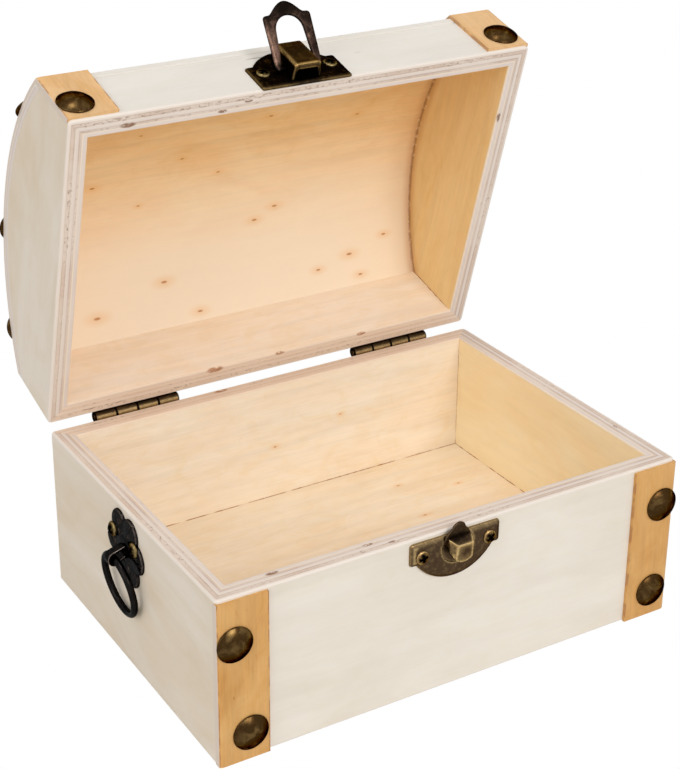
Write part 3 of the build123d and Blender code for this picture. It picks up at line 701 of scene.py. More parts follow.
# Painted shade: the hasp's bronze is a darker copy of the catch's, as if the plate round its hump lay in
# shade.
HASP_BRONZE_SHADED = antique("hasp bronze", tint(37, 28, 20), tint(180, 146, 90), 0.14, (0.28, 0.42),
                      rim=tint(64, 52, 42))
RING_BLACK = antique("blackened bronze", tint(22, 19, 18), tint(126, 112, 102), 0.05, (0.18, 0.34),
                     rim=tint(104, 98, 94), lacquer=0.1)
SCREW_BRASS = antique("screw brass", tint(96, 74, 44), tint(190, 156, 104), 0.45, (0.3, 0.42))
DULL_SCREW = antique("dull screw brass", tint(70, 58, 34), tint(158, 136, 92), 0.4, (0.3, 0.42))
HINGE_BRASS = antique("hinge brass", tint(66, 50, 32), tint(200, 168, 116), 0.2)
BAIL_COPPER = antique("bail copper", tint(40, 30, 25), tint(164, 128, 110), 0.3, (0.26, 0.4),
                      rim=tint(70, 56, 48))
print("materials so far:", len(bpy.data.materials))

# %% [markdown]
# ## Mesh kit
#
# The hardware could be modelled where it stands, but its plates are easier to draw flat. So it is
# modelled in millimetres on a bench: x to the right, y up and z towards the reader. A seat matrix then
# sets it on its wall.


# %% Seats
def seat(origin, right, up):
    """A matrix that takes bench millimetres to a place on the box."""
    right, up = Vector(right).normalized(), Vector(up).normalized()
    out = right.cross(up)
    matrix = Matrix((right, up, out)).transposed().to_4x4()
    matrix.translation = Vector(origin)
    return matrix


def front_seat(x, z, out=0.0):
    """A seat on the front, out millimetres proud of it."""
    return seat((x, -DEPTH / 2 - out, z), (1, 0, 0), (0, 0, 1))


def end_seat(side, y, z, out=0.0):
    """A seat on the left end, where side is -1, or on the right end, where it is 1."""
    return seat((side * (WIDTH / 2 + out), y, z), (0, side, 0), (0, 0, 1))


print("the front looks along", tuple(front_seat(0, 0).col[2][:3]))

# %% Lay a piece
WELD = 1e-7  # metres between points that are one


def lay(name, shells, material, body, replaced, sharp=38.0):
    """Builds one mesh from (matrix, points, faces) shells, and sets it on its body in place of a CAD node.

    A point's fourth number, if it has one, is its tone: 1 for wear and painted highlight, -1 for painted
    shade with some dirt."""
    mesh = bmesh.new()
    tone = mesh.verts.layers.float.new("tone")
    for matrix, points, faces in shells:
        verts = []
        for point in points:
            verts.append(mesh.verts.new(matrix @ Vector(point[:3]) * MM))
            verts[-1][tone] = point[3] if len(point) > 3 else 0.0
        for face in faces:
            mesh.faces.new([verts[i] for i in face])
    bmesh.ops.remove_doubles(mesh, verts=mesh.verts, dist=WELD)
    bmesh.ops.recalc_face_normals(mesh, faces=mesh.faces)
    data = bpy.data.meshes.new(name)
    mesh.to_mesh(data)
    mesh.free()
    data.materials.append(material)
    data.polygons.foreach_set("use_smooth", [True] * len(data.polygons))
    data.set_sharp_from_angle(angle=math.radians(sharp))
    piece = bpy.data.objects.new(name, data)
    scene.collection.objects.link(piece)
    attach(piece, body)
    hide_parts(*replaced)
    print("made", name, len(data.polygons), "faces")
    return piece


# %% [markdown]
# ### Pressing a sheet
#
# Latch plates are stamped out of sheet and their edges come out rounded. An extruded outline with a bevel
# could stand for that, but a bevel can't press a soft dish or a cross into the sheet. `press` works as
# the die does: it fills an outline with triangles, packs rows of points close to the edge, and lifts each
# point to a height that depends on how far it is from the edge.

# %% Outlines
NEVER_CROSSED = 1e9  # the slope of a level edge, which no level ray crosses


def arc(cx, cy, radius, start, end, count=24):
    """Points on an arc, with angles in degrees."""
    turns = [math.radians(start + (end - start) * k / count) for k in range(count + 1)]
    return [(cx + radius * math.cos(t), cy + radius * math.sin(t)) for t in turns]


def resample(loop, spacing):
    """Evenly spaced points on a closed outline, with its sharp corners kept."""
    points = []
    for (ax, ay), (bx, by) in zip(loop, loop[1:] + loop[:1]):
        length = math.hypot(bx - ax, by - ay)
        steps = max(1, round(length / spacing))
        points += [(ax + (bx - ax) * k / steps, ay + (by - ay) * k / steps) for k in range(steps)]
    return points


def soften(loop, rounds=2):
    """Rounds an outline's corners a little by moving each point to the mean of its neighbours."""
    for _ in range(rounds):
        loop = [((a[0] + 2 * b[0] + c[0]) / 4, (a[1] + 2 * b[1] + c[1]) / 4)
                for a, b, c in zip(loop[-1:] + loop[:-1], loop, loop[1:] + loop[:1])]
    return loop


def edge_distance(points, loop):
    """Each point's distance to an outline, positive inside it."""
    points, start = np.asarray(points, float)[:, None, :], np.asarray(loop, float)
    step = np.roll(start, -1, axis=0) - start
    share = (((points - start) * step).sum(2) / (step**2).sum(1)).clip(0, 1)
    away = np.linalg.norm(points - start - share[:, :, None] * step, axis=2).min(1)
    px, py = points[:, :, 0], points[:, :, 1]
    far = start + step
    crosses = (start[:, 1] > py) != (far[:, 1] > py)
    slope = np.where(step[:, 1] == 0, NEVER_CROSSED, step[:, 1])
    hits = crosses & (px < start[:, 0] + step[:, 0] * (py - start[:, 1]) / slope)
    return np.where(hits.sum(1) % 2 == 1, away, -away)


unit_square = [(0, 0), (1, 0), (1, 1), (0, 1)]
print("the middle of a unit square is", edge_distance([(0.5, 0.5)], unit_square)[0], "from its edge")

# %% Press
EDGE_ROWS = (0.1, 0.22, 0.38, 0.6, 0.9, 1.3)
SAME_POINT = 0.02  # millimetres between points that the filling may merge
ON_SHEET = 1e-4  # how far inside the outline a triangle's middle must lie


def inset(loop, depth):
    """An outline moved inwards, for a loop that runs anticlockwise."""
    moved = []
    for a, b, c in zip(loop[-1:] + loop[:-1], loop, loop[1:] + loop[:1]):
        tx, ty = c[0] - a[0], c[1] - a[1]
        length = math.hypot(tx, ty) or 1.0
        moved.append((b[0] - depth * ty / length, b[1] + depth * tx / length))
    return moved


def fill(outline, grid, rows, creases):
    """Flat points and triangles that fill an outline, with rows of points near its edge and along creases."""
    points, edges = [], []
    for loop in [outline, *creases]:
        first = len(points)
        points += loop
        edges += [(first + k, first + (k + 1) % len(loop)) for k in range(len(loop))]
    extra = [point for row in rows for point in inset(outline, row)]
    xs, ys = zip(*outline)
    extra += [(x, y) for x in np.arange(min(xs), max(xs), grid) for y in np.arange(min(ys), max(ys), grid)]
    clearance = edge_distance(extra, outline)
    points += [point for point, room in zip(extra, clearance) if room > 0.85 * rows[0]]
    kept, _, triangles, _, _, _ = delaunay_2d_cdt([Vector(p) for p in points], edges, [], 0, SAME_POINT)
    flat = np.array([(p.x, p.y) for p in kept])
    middles = np.array([flat[list(t)].mean(0) for t in triangles])
    inside = edge_distance(middles, outline)
    return flat, [tuple(t) for t, room in zip(triangles, inside) if room > ON_SHEET]


def press(outline, front, back, grid=0.7, rows=EDGE_ROWS, creases=(), tone=None):
    """Fills an outline and returns its two faces and its side walls.

    front, back and tone take (x, y, distance from the edge) arrays. The first two return heights."""
    flat, faces = fill(outline, grid, rows, creases)
    depth = edge_distance(flat, outline).clip(0)
    count = len(flat)
    tones = tone(flat[:, 0], flat[:, 1], depth) if tone else np.zeros(count)
    top = np.column_stack([flat, front(flat[:, 0], flat[:, 1], depth), tones])
    under = np.column_stack([flat, back(flat[:, 0], flat[:, 1], depth), tones])
    directed = {(a, b) for face in faces for a, b in zip(face, face[1:] + face[:1])}
    walls = [(b, a, a + count, b + count) for a, b in directed if (b, a) not in directed]
    under_faces = [tuple(i + count for i in reversed(face)) for face in faces]
    return np.vstack([top, under]).tolist(), faces + under_faces + walls


# %% Heights
def rounded(height, side, radius):
    """An edge profile: side at the very edge, then a quarter round up to height."""
    def profile(x, y, depth):
        share = (depth / radius).clip(0, 1)
        return side + (height - side) * np.sqrt(1 - (1 - share) ** 2)
    return profile


def level(height):
    """The same height everywhere."""
    return lambda x, y, depth: np.full_like(x, height)


def band(value, middle, width):
    """1 at middle, fading to 0 at width on both sides."""
    return (1 - np.abs(value - middle) / width).clip(0, 1)


sheet_points, sheet_faces = press(arc(0, 0, 5, 0, 352, 44), rounded(1.0, 0.5, 0.5), level(0.0))
print("a pressed disc has", len(sheet_points), "points and", len(sheet_faces), "faces")

# %% [markdown]
# ### Turning, rolling and bending
#
# Nails, pins and rings are turned: a short profile goes round an axis. A Screw modifier does that too,
# but plain points can still be given a tone one by one. Collars and the guide tab are bent strips, so
# `bend` runs a rounded cross-section along a folded path.

# %% Turn
ON_AXIS = 1e-6  # a radius this small is a single point


def turn(profile, count=40, axis="z"):
    """A profile of (radius, height) points turned about an axis, closed where it meets the axis."""
    points, rows = [], []
    for radius, height in profile:
        if radius < ON_AXIS:
            rows.append([len(points)])
            points.append((0, 0, height))
            continue
        rows.append(list(range(len(points), len(points) + count)))
        points += [(radius * math.cos(math.tau * k / count), radius * math.sin(math.tau * k / count), height)
                   for k in range(count)]
    faces = []
    for low_row, high_row in zip(rows, rows[1:]):
        for k in range(count):
            n = (k + 1) % count
            corners = [low_row[k % len(low_row)], low_row[n % len(low_row)],
                       high_row[n % len(high_row)], high_row[k % len(high_row)]]
            faces.append(tuple(dict.fromkeys(corners)))
    if axis == "x":
        points = [(z, x, y) for x, y, z in points]
    return points, faces


def dome_profile(radius, height, foot=0.0, rows=10):
    """A shallow dome from its rim to its crown."""
    crown = (radius**2 + height**2) / (2 * height)
    reach = math.asin(min(1.0, radius / crown))
    return [(crown * math.sin(reach * k / rows), foot + height - crown * (1 - math.cos(reach * k / rows)))
            for k in range(rows, -1, -1)]


def torus(radius, wire, count=72, around=16):
    """A ring of round wire that lies in the bench's plane."""
    points = []
    for i in range(count):
        a = math.tau * i / count
        for j in range(around):
            b = math.tau * j / around
            reach = radius + wire * math.cos(b)
            points.append((reach * math.cos(a), reach * math.sin(a), wire * math.sin(b)))
    faces = [(i * around + j, ((i + 1) % count) * around + j, ((i + 1) % count) * around + (j + 1) % around,
              i * around + (j + 1) % around) for i in range(count) for j in range(around)]
    return points, faces


print("a dome's profile has", len(dome_profile(5.6, 2.5)), "points")

# %% Bend
TINY = 1e-9


def bend(stations, radius=0.4, corner=4, wear_and_sheen=0.0):
    """A strip with rounded edges and closed ends, through stations of (half width, front, back).

    front and back are (y, z) points, and the last argument is the tone of the rounded edges: wear and painted
    highlight."""
    points, rings = [], []
    for half, front, back in stations:
        thick = math.dist(front, back)
        r = min(radius, 0.98 * half, 0.49 * thick)
        ring = []
        for side, through, start in ((1, 0, 90), (1, 1, 0), (-1, 1, -90), (-1, 0, -180)):
            cx = side * (half - r)
            cv = (thick - r) if through else r
            for k in range(corner + 1):
                a = math.radians(start + (-90 * k / corner))
                v = (cv - r * math.sin(a)) / thick
                y, z = front[0] + (back[0] - front[0]) * v, front[1] + (back[1] - front[1]) * v
                # Painted highlight and wear: the rounded edges are toned light.
                tone = wear_and_sheen * (1 - abs(2 * k / corner - 1))
                ring.append((cx + r * math.cos(a), y, z, tone))
        rings.append(list(range(len(points), len(points) + len(ring))))
        points += ring
    faces = []
    for a, b in zip(rings, rings[1:]):
        faces += [(a[k], a[(k + 1) % len(a)], b[(k + 1) % len(a)], b[k]) for k in range(len(a))]
    faces += [tuple(reversed(rings[0])), tuple(rings[-1])]
    return points, faces


def along(path, count):
    """count + 1 points spread along a folded path."""
    lengths = [0.0]
    for a, b in zip(path, path[1:]):
        lengths.append(lengths[-1] + math.dist(a, b))
    spots = []
    for k in range(count + 1):
        want = lengths[-1] * k / count
        i = min(len(path) - 2, max(j for j, run in enumerate(lengths) if run <= want + TINY))
        share = (want - lengths[i]) / (lengths[i + 1] - lengths[i])
        spots.append(tuple(p + (q - p) * share for p, q in zip(path[i], path[i + 1])))
    return spots


print("four steps along a folded path:", along([(0, 0), (2, 0), (2, 2)], 4))

# %% Soften edges
FOLD = 0.3  # radians between two faces that make an edge worth rounding


def segment_distance(point, start, end):
    """A point's distance to a line between two points."""
    line = end - start
    share = min(1.0, max(0.0, (point - start).dot(line) / max(line.length_squared, TINY)))
    return (point - start - share * line).length


def round_edges(points, faces, test, radius, wear_and_sheen):
    """Rounds the edges of a faceted solid that pass the test, and lays a light line along each, as wide as
    the last argument: wear and painted highlight.
    """
    mesh = bmesh.new()
    verts = [mesh.verts.new(p) for p in points]
    for face in faces:
        mesh.faces.new([verts[i] for i in face])
    bmesh.ops.recalc_face_normals(mesh, faces=mesh.faces)
    edges = [e for e in mesh.edges if len(e.link_faces) == 2 and e.calc_face_angle() > FOLD
             and test(*(v.co for v in e.verts))]
    lines = [tuple(v.co.copy() for v in e.verts) for e in edges]
    bmesh.ops.bevel(mesh, geom=edges, offset=radius, segments=4, profile=0.5, affect="EDGES",
                    clamp_overlap=True)
    long_edges = [e for e in mesh.edges if e.calc_length() > 0.5]
    bmesh.ops.subdivide_edges(mesh, edges=long_edges, cuts=3, use_grid_fill=True)
    mesh.verts.index_update()
    points = []
    for vert in mesh.verts:
        away = min(segment_distance(vert.co, *line) for line in lines)
        # Painted highlight and wear: points near a rounded edge are toned light.
        points.append((*vert.co, max(0.0, 1.0 - away / wear_and_sheen)))
    faces = [tuple(v.index for v in face.verts) for face in mesh.faces]
    mesh.free()
    return points, faces


print("mesh kit ready")

# %% [markdown]
# ## Dome nails
#
# Upholsterer's nails with a wide, low head hammered from sheet. A squashed ball would be quick, but its
# foot would be too round. The head is turned from its profile instead, with a thin lip where the metal
# was folded under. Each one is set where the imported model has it, and as the wear is drawn by place, no
# two look alike.

# %% Nails
NAIL_R, NAIL_H, NAIL_LIP = 5.6, 2.5, 0.62
STRAP_PLY = 1.0
BOX_NAILS = [(-70.2, 9.0), (-74.8, 39.5), (73.6, 9.0), (75.0, 39.5)]
LID_FRONT_NAILS = [(-74.8, RIM_LID + 7.5), (73.4, RIM_LID + 7.5)]
TOP_NAIL_Y = (-40.0, 9.0, 42.5)
TOP_NAIL_X = 75.6


def nail_head():
    """A folded lip, and a shallow dome on it."""
    lip = [(0.0, 0.0), (NAIL_R - 0.35, 0.0), (NAIL_R - 0.06, 0.1), (NAIL_R, 0.3), (NAIL_R - 0.05, 0.5)]
    return turn(lip + dome_profile(NAIL_R - 0.18, NAIL_H - NAIL_LIP, NAIL_LIP, 12), 48)


def front_nails(places):
    """Nail heads at (x, z) places on the front straps."""
    return [(front_seat(x, z, STRAP_PLY) @ Matrix.Rotation(x + z, 4, "Z"), *nail_head()) for x, z in places]


def top_nails():
    """Nail heads on the straps over the dome, each one square to the dome."""
    shells = []
    radius = DOME_R + STRAP_PLY
    for side in (-1, 1):
        for y in TOP_NAIL_Y:
            rise = math.sqrt(radius**2 - y**2)
            place = seat((side * TOP_NAIL_X, y, DOME_Z + rise), (1, 0, 0), (0, rise, -y))
            shells.append((OPEN_LID @ place, *nail_head()))
    return shells


lay("dome_nails_box", front_nails(BOX_NAILS), NAIL_BRASS, "box", ["box_strap_nails"])
lid_heads = [(OPEN_LID @ m, p, f) for m, p, f in front_nails(LID_FRONT_NAILS)]
lay("dome_nails_lid", lid_heads + top_nails(), NAIL_BRASS, "lid", ["lid_front_nails", "lid_top_nails"])

# %% [markdown]
# ## Cross-head screws
#
# Small pan heads. The cross could be cut out with a boolean, which leaves knife edges, or drawn on as a
# dark plus, which shows as paint from the side. Here it is pressed into the dome with sloping walls, so
# it is part of the mesh, and its tone paints shade into it, black inside from any side. A light ring near
# the rim is wear and painted highlight.


# %% Screws
def cross_outline(reach, half):
    """A plus sign."""
    quarter = [(half, half), (half, reach), (-half, reach)]
    loop = []
    for turns in range(4):
        c, s = math.cos(turns * math.pi / 2), math.sin(turns * math.pi / 2)
        loop += [(x * c - y * s, x * s + y * c) for x, y in quarter]
    return list(dict.fromkeys((round(x, 6), round(y, 6)) for x, y in loop))


CROSS_REACH, CROSS_HALF, CROSS_SLOPE, CROSS_DEPTH = 0.62, 0.17, 0.05, 0.62  # shares of the radius or height
SCREW_SIDE = 0.3
SCREW_ROWS = (0.08, 0.18, 0.3)


def screw_head(radius, height, angle):
    """A pan head with its cross turned by angle degrees."""
    crown = (radius**2 + (height - SCREW_SIDE) ** 2) / (2 * (height - SCREW_SIDE))
    reach, half, slope = CROSS_REACH * radius, CROSS_HALF * radius, CROSS_SLOPE * radius
    cross = resample(cross_outline(reach, half), 0.25)
    floor_line = resample(cross_outline(reach - slope, half - slope), 0.25)

    def in_cross(x, y):
        return edge_distance(np.column_stack([x, y]), cross) / slope

    def front(x, y, depth):
        dome = height - crown + np.sqrt(crown**2 - (x**2 + y**2).clip(0, radius**2))
        rim = np.sqrt(1 - (1 - (depth / 0.25).clip(0, 1)) ** 2)
        side = SCREW_SIDE * height * rim
        return side + (dome - SCREW_SIDE) * rim + 0.05 - in_cross(x, y).clip(0, 1) * CROSS_DEPTH * height

    def tone(x, y, depth):
        # Painted shade: the cross is toned black. A light ring near the rim is wear and painted highlight.
        return np.where(in_cross(x, y) > -0.02, -1.0, 0.8 * band(depth, 0.2, 0.3))

    shell = press(arc(0, 0, radius, 0, 352, 44), front, level(0.0), 0.3 * radius, SCREW_ROWS,
                  creases=[cross, floor_line], tone=tone)
    return Matrix.Rotation(math.radians(angle), 4, "Z"), shell


def screws(places, radius, height):
    """Screw heads at (seat matrix, angle) places."""
    shells = []
    for place, angle in places:
        spin, (points, faces) = screw_head(radius, height, angle)
        shells.append((place @ spin, points, faces))
    return shells


# %% Latch screws
LATCH_X, SPREAD = -2.5, 11.65
CATCH_PLY, HASP_PLY = 1.2, 1.0
CATCH_TOP, HASP_FOOT = HEIGHT - 1.4, RIM_LID - 0.4
CATCH_SCREW_Z, HASP_SCREW_Z = CATCH_TOP - 4.6, HASP_FOOT + 7.6
LATCH_SCREW = (2.2, 0.9)  # radius and height

catch_places = [(front_seat(LATCH_X - SPREAD, CATCH_SCREW_Z, CATCH_PLY), 12),
                (front_seat(LATCH_X + SPREAD, CATCH_SCREW_Z, CATCH_PLY), 38)]
lay("catch_screw_heads", screws(catch_places, *LATCH_SCREW), SCREW_BRASS, "box", ["catch_screws"],
    30)
hasp_places = [(OPEN_LID @ front_seat(LATCH_X - SPREAD, HASP_SCREW_Z, HASP_PLY), 35),
               (OPEN_LID @ front_seat(LATCH_X + SPREAD, HASP_SCREW_Z, HASP_PLY), 8)]
lay("hasp_screw_heads", screws(hasp_places, *LATCH_SCREW), DULL_SCREW, "lid", ["hasp_screws"],
    30)

# %% [markdown]
# ## The catch
#
# A half-moon plate with two square ears and a wide soft bevel. In its middle a thick hooked bill stands
# out, round at its tip, and a guide tab leans out above the top edge. The bill grips the bail when the
# lid is shut. The three make one part, so they go into one mesh, though each is shaped in its own way:
# the plate is pressed, the bill is a stack of sections, and the tab is bent.

# %% Catch plate
PLATE_HALF, MOON_R, EAR_R = 15.5, 15.8, 0.9


def half_moon(ear, moon, up):
    """A latch plate's outline, with its straight edge on y = 0. up is 1 or -1.

    ear and moon are how far its ears and its belly reach from that edge."""
    middle, corner = moon - MOON_R, PLATE_HALF - EAR_R
    notch = math.degrees(math.asin((ear - middle) / MOON_R))
    right = arc(corner, EAR_R, EAR_R, -90, 0, 5) + arc(corner, ear - EAR_R, EAR_R, 0, 90, 5)
    belly = arc(0, middle, MOON_R, notch, 180 - notch, 60)
    left = arc(-corner, ear - EAR_R, EAR_R, 90, 180, 5) + arc(-corner, EAR_R, EAR_R, 180, 270, 5)
    loop = resample(right + belly + left, 0.45)
    return loop if up > 0 else [(x, -y) for x, y in reversed(loop)]


print("a latch plate is", 2 * PLATE_HALF, "mm wide")


def bevelled(height, side, width):
    """A wide soft bevel round a flat face."""
    def profile(x, y, depth):
        share = (depth / width).clip(0, 1)
        lip = (depth / 0.14).clip(0, 1)
        return side * (0.55 + 0.45 * np.sqrt(lip * (2 - lip))) + (height - side) * (share * (2 - share))
    return profile


# %% Catch face
BILL_X, BILL_RIDGE, BILL_TIP, BILL_R = 0.5, -1.7, -7.9, 3.9
BILL_Y = BILL_TIP + BILL_R
SINK_R, SINK_TOP, SINK_DEPTH, SINK_WALL = 5.6, -3.0, 0.4, 0.2
CATCH_EAR, CATCH_MOON, CATCH_SIDE, CATCH_BEVEL = 7.1, 14.2, 0.6, 1.5


def catch_face(x, y, depth):
    """The bevelled face, with the round sinking behind the bill."""
    face = bevelled(CATCH_PLY, CATCH_SIDE, CATCH_BEVEL)(x, y, depth)
    away = np.hypot(x - BILL_X, y - BILL_TIP - BILL_R)
    return face - SINK_DEPTH * ((SINK_R - away) / SINK_WALL).clip(0, 1) * (y < SINK_TOP)


def catch_tone(x, y, depth):
    """A light band along the bevel at the left, which is painted highlight, and thin light lines along the
    top, the edge and round the sinking, which are wear and painted highlight.
    """
    away = np.hypot(x - BILL_X, y - BILL_TIP - BILL_R)
    left = 0.75 * band(depth, 1.2, 0.7) * (x < -13.2)
    upper = 0.2 * band(depth, 0.7, 0.8) * (y > -1.6)
    return np.maximum.reduce([left, upper, 0.5 * band(depth, 0.0, 0.4), 0.6 * band(away, SINK_R, 0.45)])


catch_seat = front_seat(LATCH_X, CATCH_TOP)
sink_line = [point for point in arc(BILL_X, BILL_Y, SINK_R, 0, 354, 59) if point[1] < SINK_TOP]
sink_floor = [(BILL_X + (x - BILL_X) * 0.96, BILL_Y + (y - BILL_Y) * 0.96) for x, y in sink_line]
catch_plate = press(half_moon(CATCH_EAR, CATCH_MOON, -1), catch_face, level(0.0), 0.6,
                    creases=[sink_line, sink_floor], tone=catch_tone)
print("the catch plate has", len(catch_plate[1]), "faces")

# %% Bill
BILL_REACH, TIP_REACH, BILL_PLY, BILL_ROOT = 5.3, 4.5, 2.1, -0.4
BILL_NOSE, BILL_SHOULDER = 2.6, 2.6  # the half width of the nose, and the height at which it starts to narrow
BILL_BACK = 0.9  # the back of the bill's upper part, which is sunk in the plate
HOOK = ((0.2, 0.9), (0.3, 1.9), (0.4, 2.7))  # (share of the way to the tip, back), as it leaves the plate
THINNEST, NARROWEST = 0.1, 0.35


def bill_levels():
    """Sections of the bill from its root to its tip, as (y, front, back)."""
    levels = [(BILL_ROOT, 1.25, BILL_BACK),
              ((BILL_ROOT + BILL_RIDGE) / 2, (BILL_REACH + 1.2) / 2, BILL_BACK),
              (BILL_RIDGE, BILL_REACH, BILL_BACK)]
    for share, back in HOOK:
        y = BILL_RIDGE + (BILL_TIP - BILL_RIDGE) * share
        levels.append((y, BILL_REACH + (TIP_REACH - BILL_REACH) * share, back))
    for k in range(1, 10):
        y = BILL_Y - BILL_R * math.sin(math.radians(10 * k))
        share = (y - BILL_RIDGE) / (BILL_TIP - BILL_RIDGE)
        front = BILL_REACH + (TIP_REACH - BILL_REACH) * share
        levels.append((y, front, front - BILL_PLY))
    return levels


def bill_section(y, front, back):
    """One closed section. Its sides lean in above the shoulder, which gives the nose its two facets."""
    half = BILL_R
    if y <= BILL_Y:
        half = max(NARROWEST, math.sqrt(max(0.0, BILL_R**2 - (y - BILL_Y) ** 2)))

    def side(z):
        lean = (BILL_R - BILL_NOSE) * (z - BILL_SHOULDER) / (BILL_REACH - BILL_SHOULDER)
        return min(half, BILL_R if z < BILL_SHOULDER else BILL_R - lean)

    bend_z = min(max(BILL_SHOULDER, back + THINNEST), front - THINNEST)
    right = [(side(z), z) for z in (back, (back + bend_z) / 2, bend_z, (bend_z + front) / 2, front)]
    across_front = [(side(front) * t, front) for t in (0.5, 0.0, -0.5)]
    across_back = [(side(back) * t, back) for t in (-0.5, 0.0, 0.5)]
    ring = right + across_front + [(-x, z) for x, z in reversed(right)] + across_back
    return [(BILL_X + x, y, z) for x, z in ring]


def bright_edge(p, q):
    """Whether the edge from p to q stands out enough to be rounded and given a light line of wear and painted
    highlight.
    """
    root_end, low_edge, high_edge = -2.9, 1.3, 3.2
    return min(p.z, q.z) > (low_edge if min(p.y, q.y) > root_end else high_edge)


def bill():
    """The hooked bill: a stack of sections whose nose is narrowed by two facets, round at its foot."""
    levels = bill_levels()
    points = [point for section in levels for point in bill_section(*section)]
    wide = len(points) // len(levels)
    faces = []
    for row in range(len(levels) - 1):
        a, b = row * wide, (row + 1) * wide
        faces += [(a + k, a + (k + 1) % wide, b + (k + 1) % wide, b + k) for k in range(wide)]
    faces += [tuple(range(wide)), tuple(range(len(points) - wide, len(points)))]
    points, faces = round_edges(points, faces, bright_edge, 0.3, 0.75)
    toned = []
    for x, y, z, tone in points:
        # Painted light: the top side of the nose is toned dark as shade and the front lighter as lit, with a
        # darker spot near the round foot; the edges add light lines.
        away = math.hypot(x - BILL_X - 0.6, y - BILL_TIP - 3.4)
        painted_facet_light = -0.4 if y > BILL_RIDGE + 0.02 else 0.26 - 0.4 * band(away, 0, 2.6)
        toned.append((x, y, z, painted_facet_light + (1.2 - painted_facet_light) * tone))
    return toned, faces


print("the bill has", len(bill_levels()), "sections")

# %% Guide tab
TAB_NECK, TAB_LEAN, TAB_DARKER = 2.1, 0.163, 0.35


def tab():
    """The guide tab above the plate."""
    rows = [(4.35, (-1.3, 1.8), (-1.3, 1.0)), (4.3, (0.0, 2.0), (0.0, 1.3)), (3.4, (1.2, 2.2), (1.2, 1.5)),
            (2.6, (TAB_NECK, 2.35), (TAB_NECK, 1.65))]
    for k in range(1, 9):
        angle = k / 8 * math.pi / 2
        y = TAB_NECK + 2.2 * math.sin(angle)
        rows.append((max(0.12, 2.3 * math.cos(angle)), (y, 2.0 + TAB_LEAN * y), (y, 1.3 + TAB_LEAN * y)))
    # The tab's rounded edges are toned light, which is wear and painted highlight, and the whole tab is toned
    # darker.
    points, faces = bend(rows, 0.3, wear_and_sheen=0.5)
    return [(x, y, z, tone - TAB_DARKER) for x, y, z, tone in points], faces


catch_shells = [(catch_seat, *catch_plate), (catch_seat, *bill()), (catch_seat, *tab())]
lay("catch_with_bill", catch_shells, CATCH_BRONZE, "box", ["duckbill_catch"], 32)

# %% [markdown]
# ## The hasp
#
# The same half moon turned over, on the lid. Its hump is a hollow box bent out of the plate: open towards
# the rim so that the bill's ridge can enter, and closed at the far end. The bail's pins turn in its two
# sides. A solid block would look right only with the lid shut. With the lid open the eye looks into the
# hump, so its rows run from the inside of the far end out to the mouth, over the lip and back along the
# outside.

# %% The hump's rows
HUMP_FOOT_Y, HUMP_LENGTH, HUMP_SLOPE, HUMP_OUT, HUMP_PLY = 1.6, 14.5, 1.9, 6.3, 0.9


def hump_section(y, top, inset_by, tones, corner=0.9):
    """One row of the hump: up the right side, over the roof and down. tones are (sides, corners, roof)."""
    side, edge, roof = tones
    r = min(corner, 0.45 * top)
    wide = 5.0 - inset_by
    half = wide - 0.5 * top / HUMP_OUT
    row = [(wide, y, 0.1, side), (0.5 * (wide + half), y, 0.5 * top, side), (half, y, top - 1.7 * r, side)]
    for turn_by, tone in ((0, 0.3), (25, 0.9), (45, 1.0), (65, 0.9), (90, 0.4)):
        x, z = math.cos(math.radians(turn_by)), math.sin(math.radians(turn_by))
        row.append((half - r + r * x, y, top - r + r * z, edge * tone))
    row += [(t * (half - 1.6 * r), y, top, roof) for t in (1.0, 0.5)]
    return row + [(0, y, top, roof)] + [(-x, y, z, tone) for x, y, z, tone in reversed(row)]


print("a row of the hump has", len(hump_section(0, HUMP_OUT, 0, (0, 0, 0))), "points")

# %% Hump
# Painted shade: the hump's hollow inside is toned black all over.
PAINTED_SHADE_INSIDE = (-1, -1, -1)


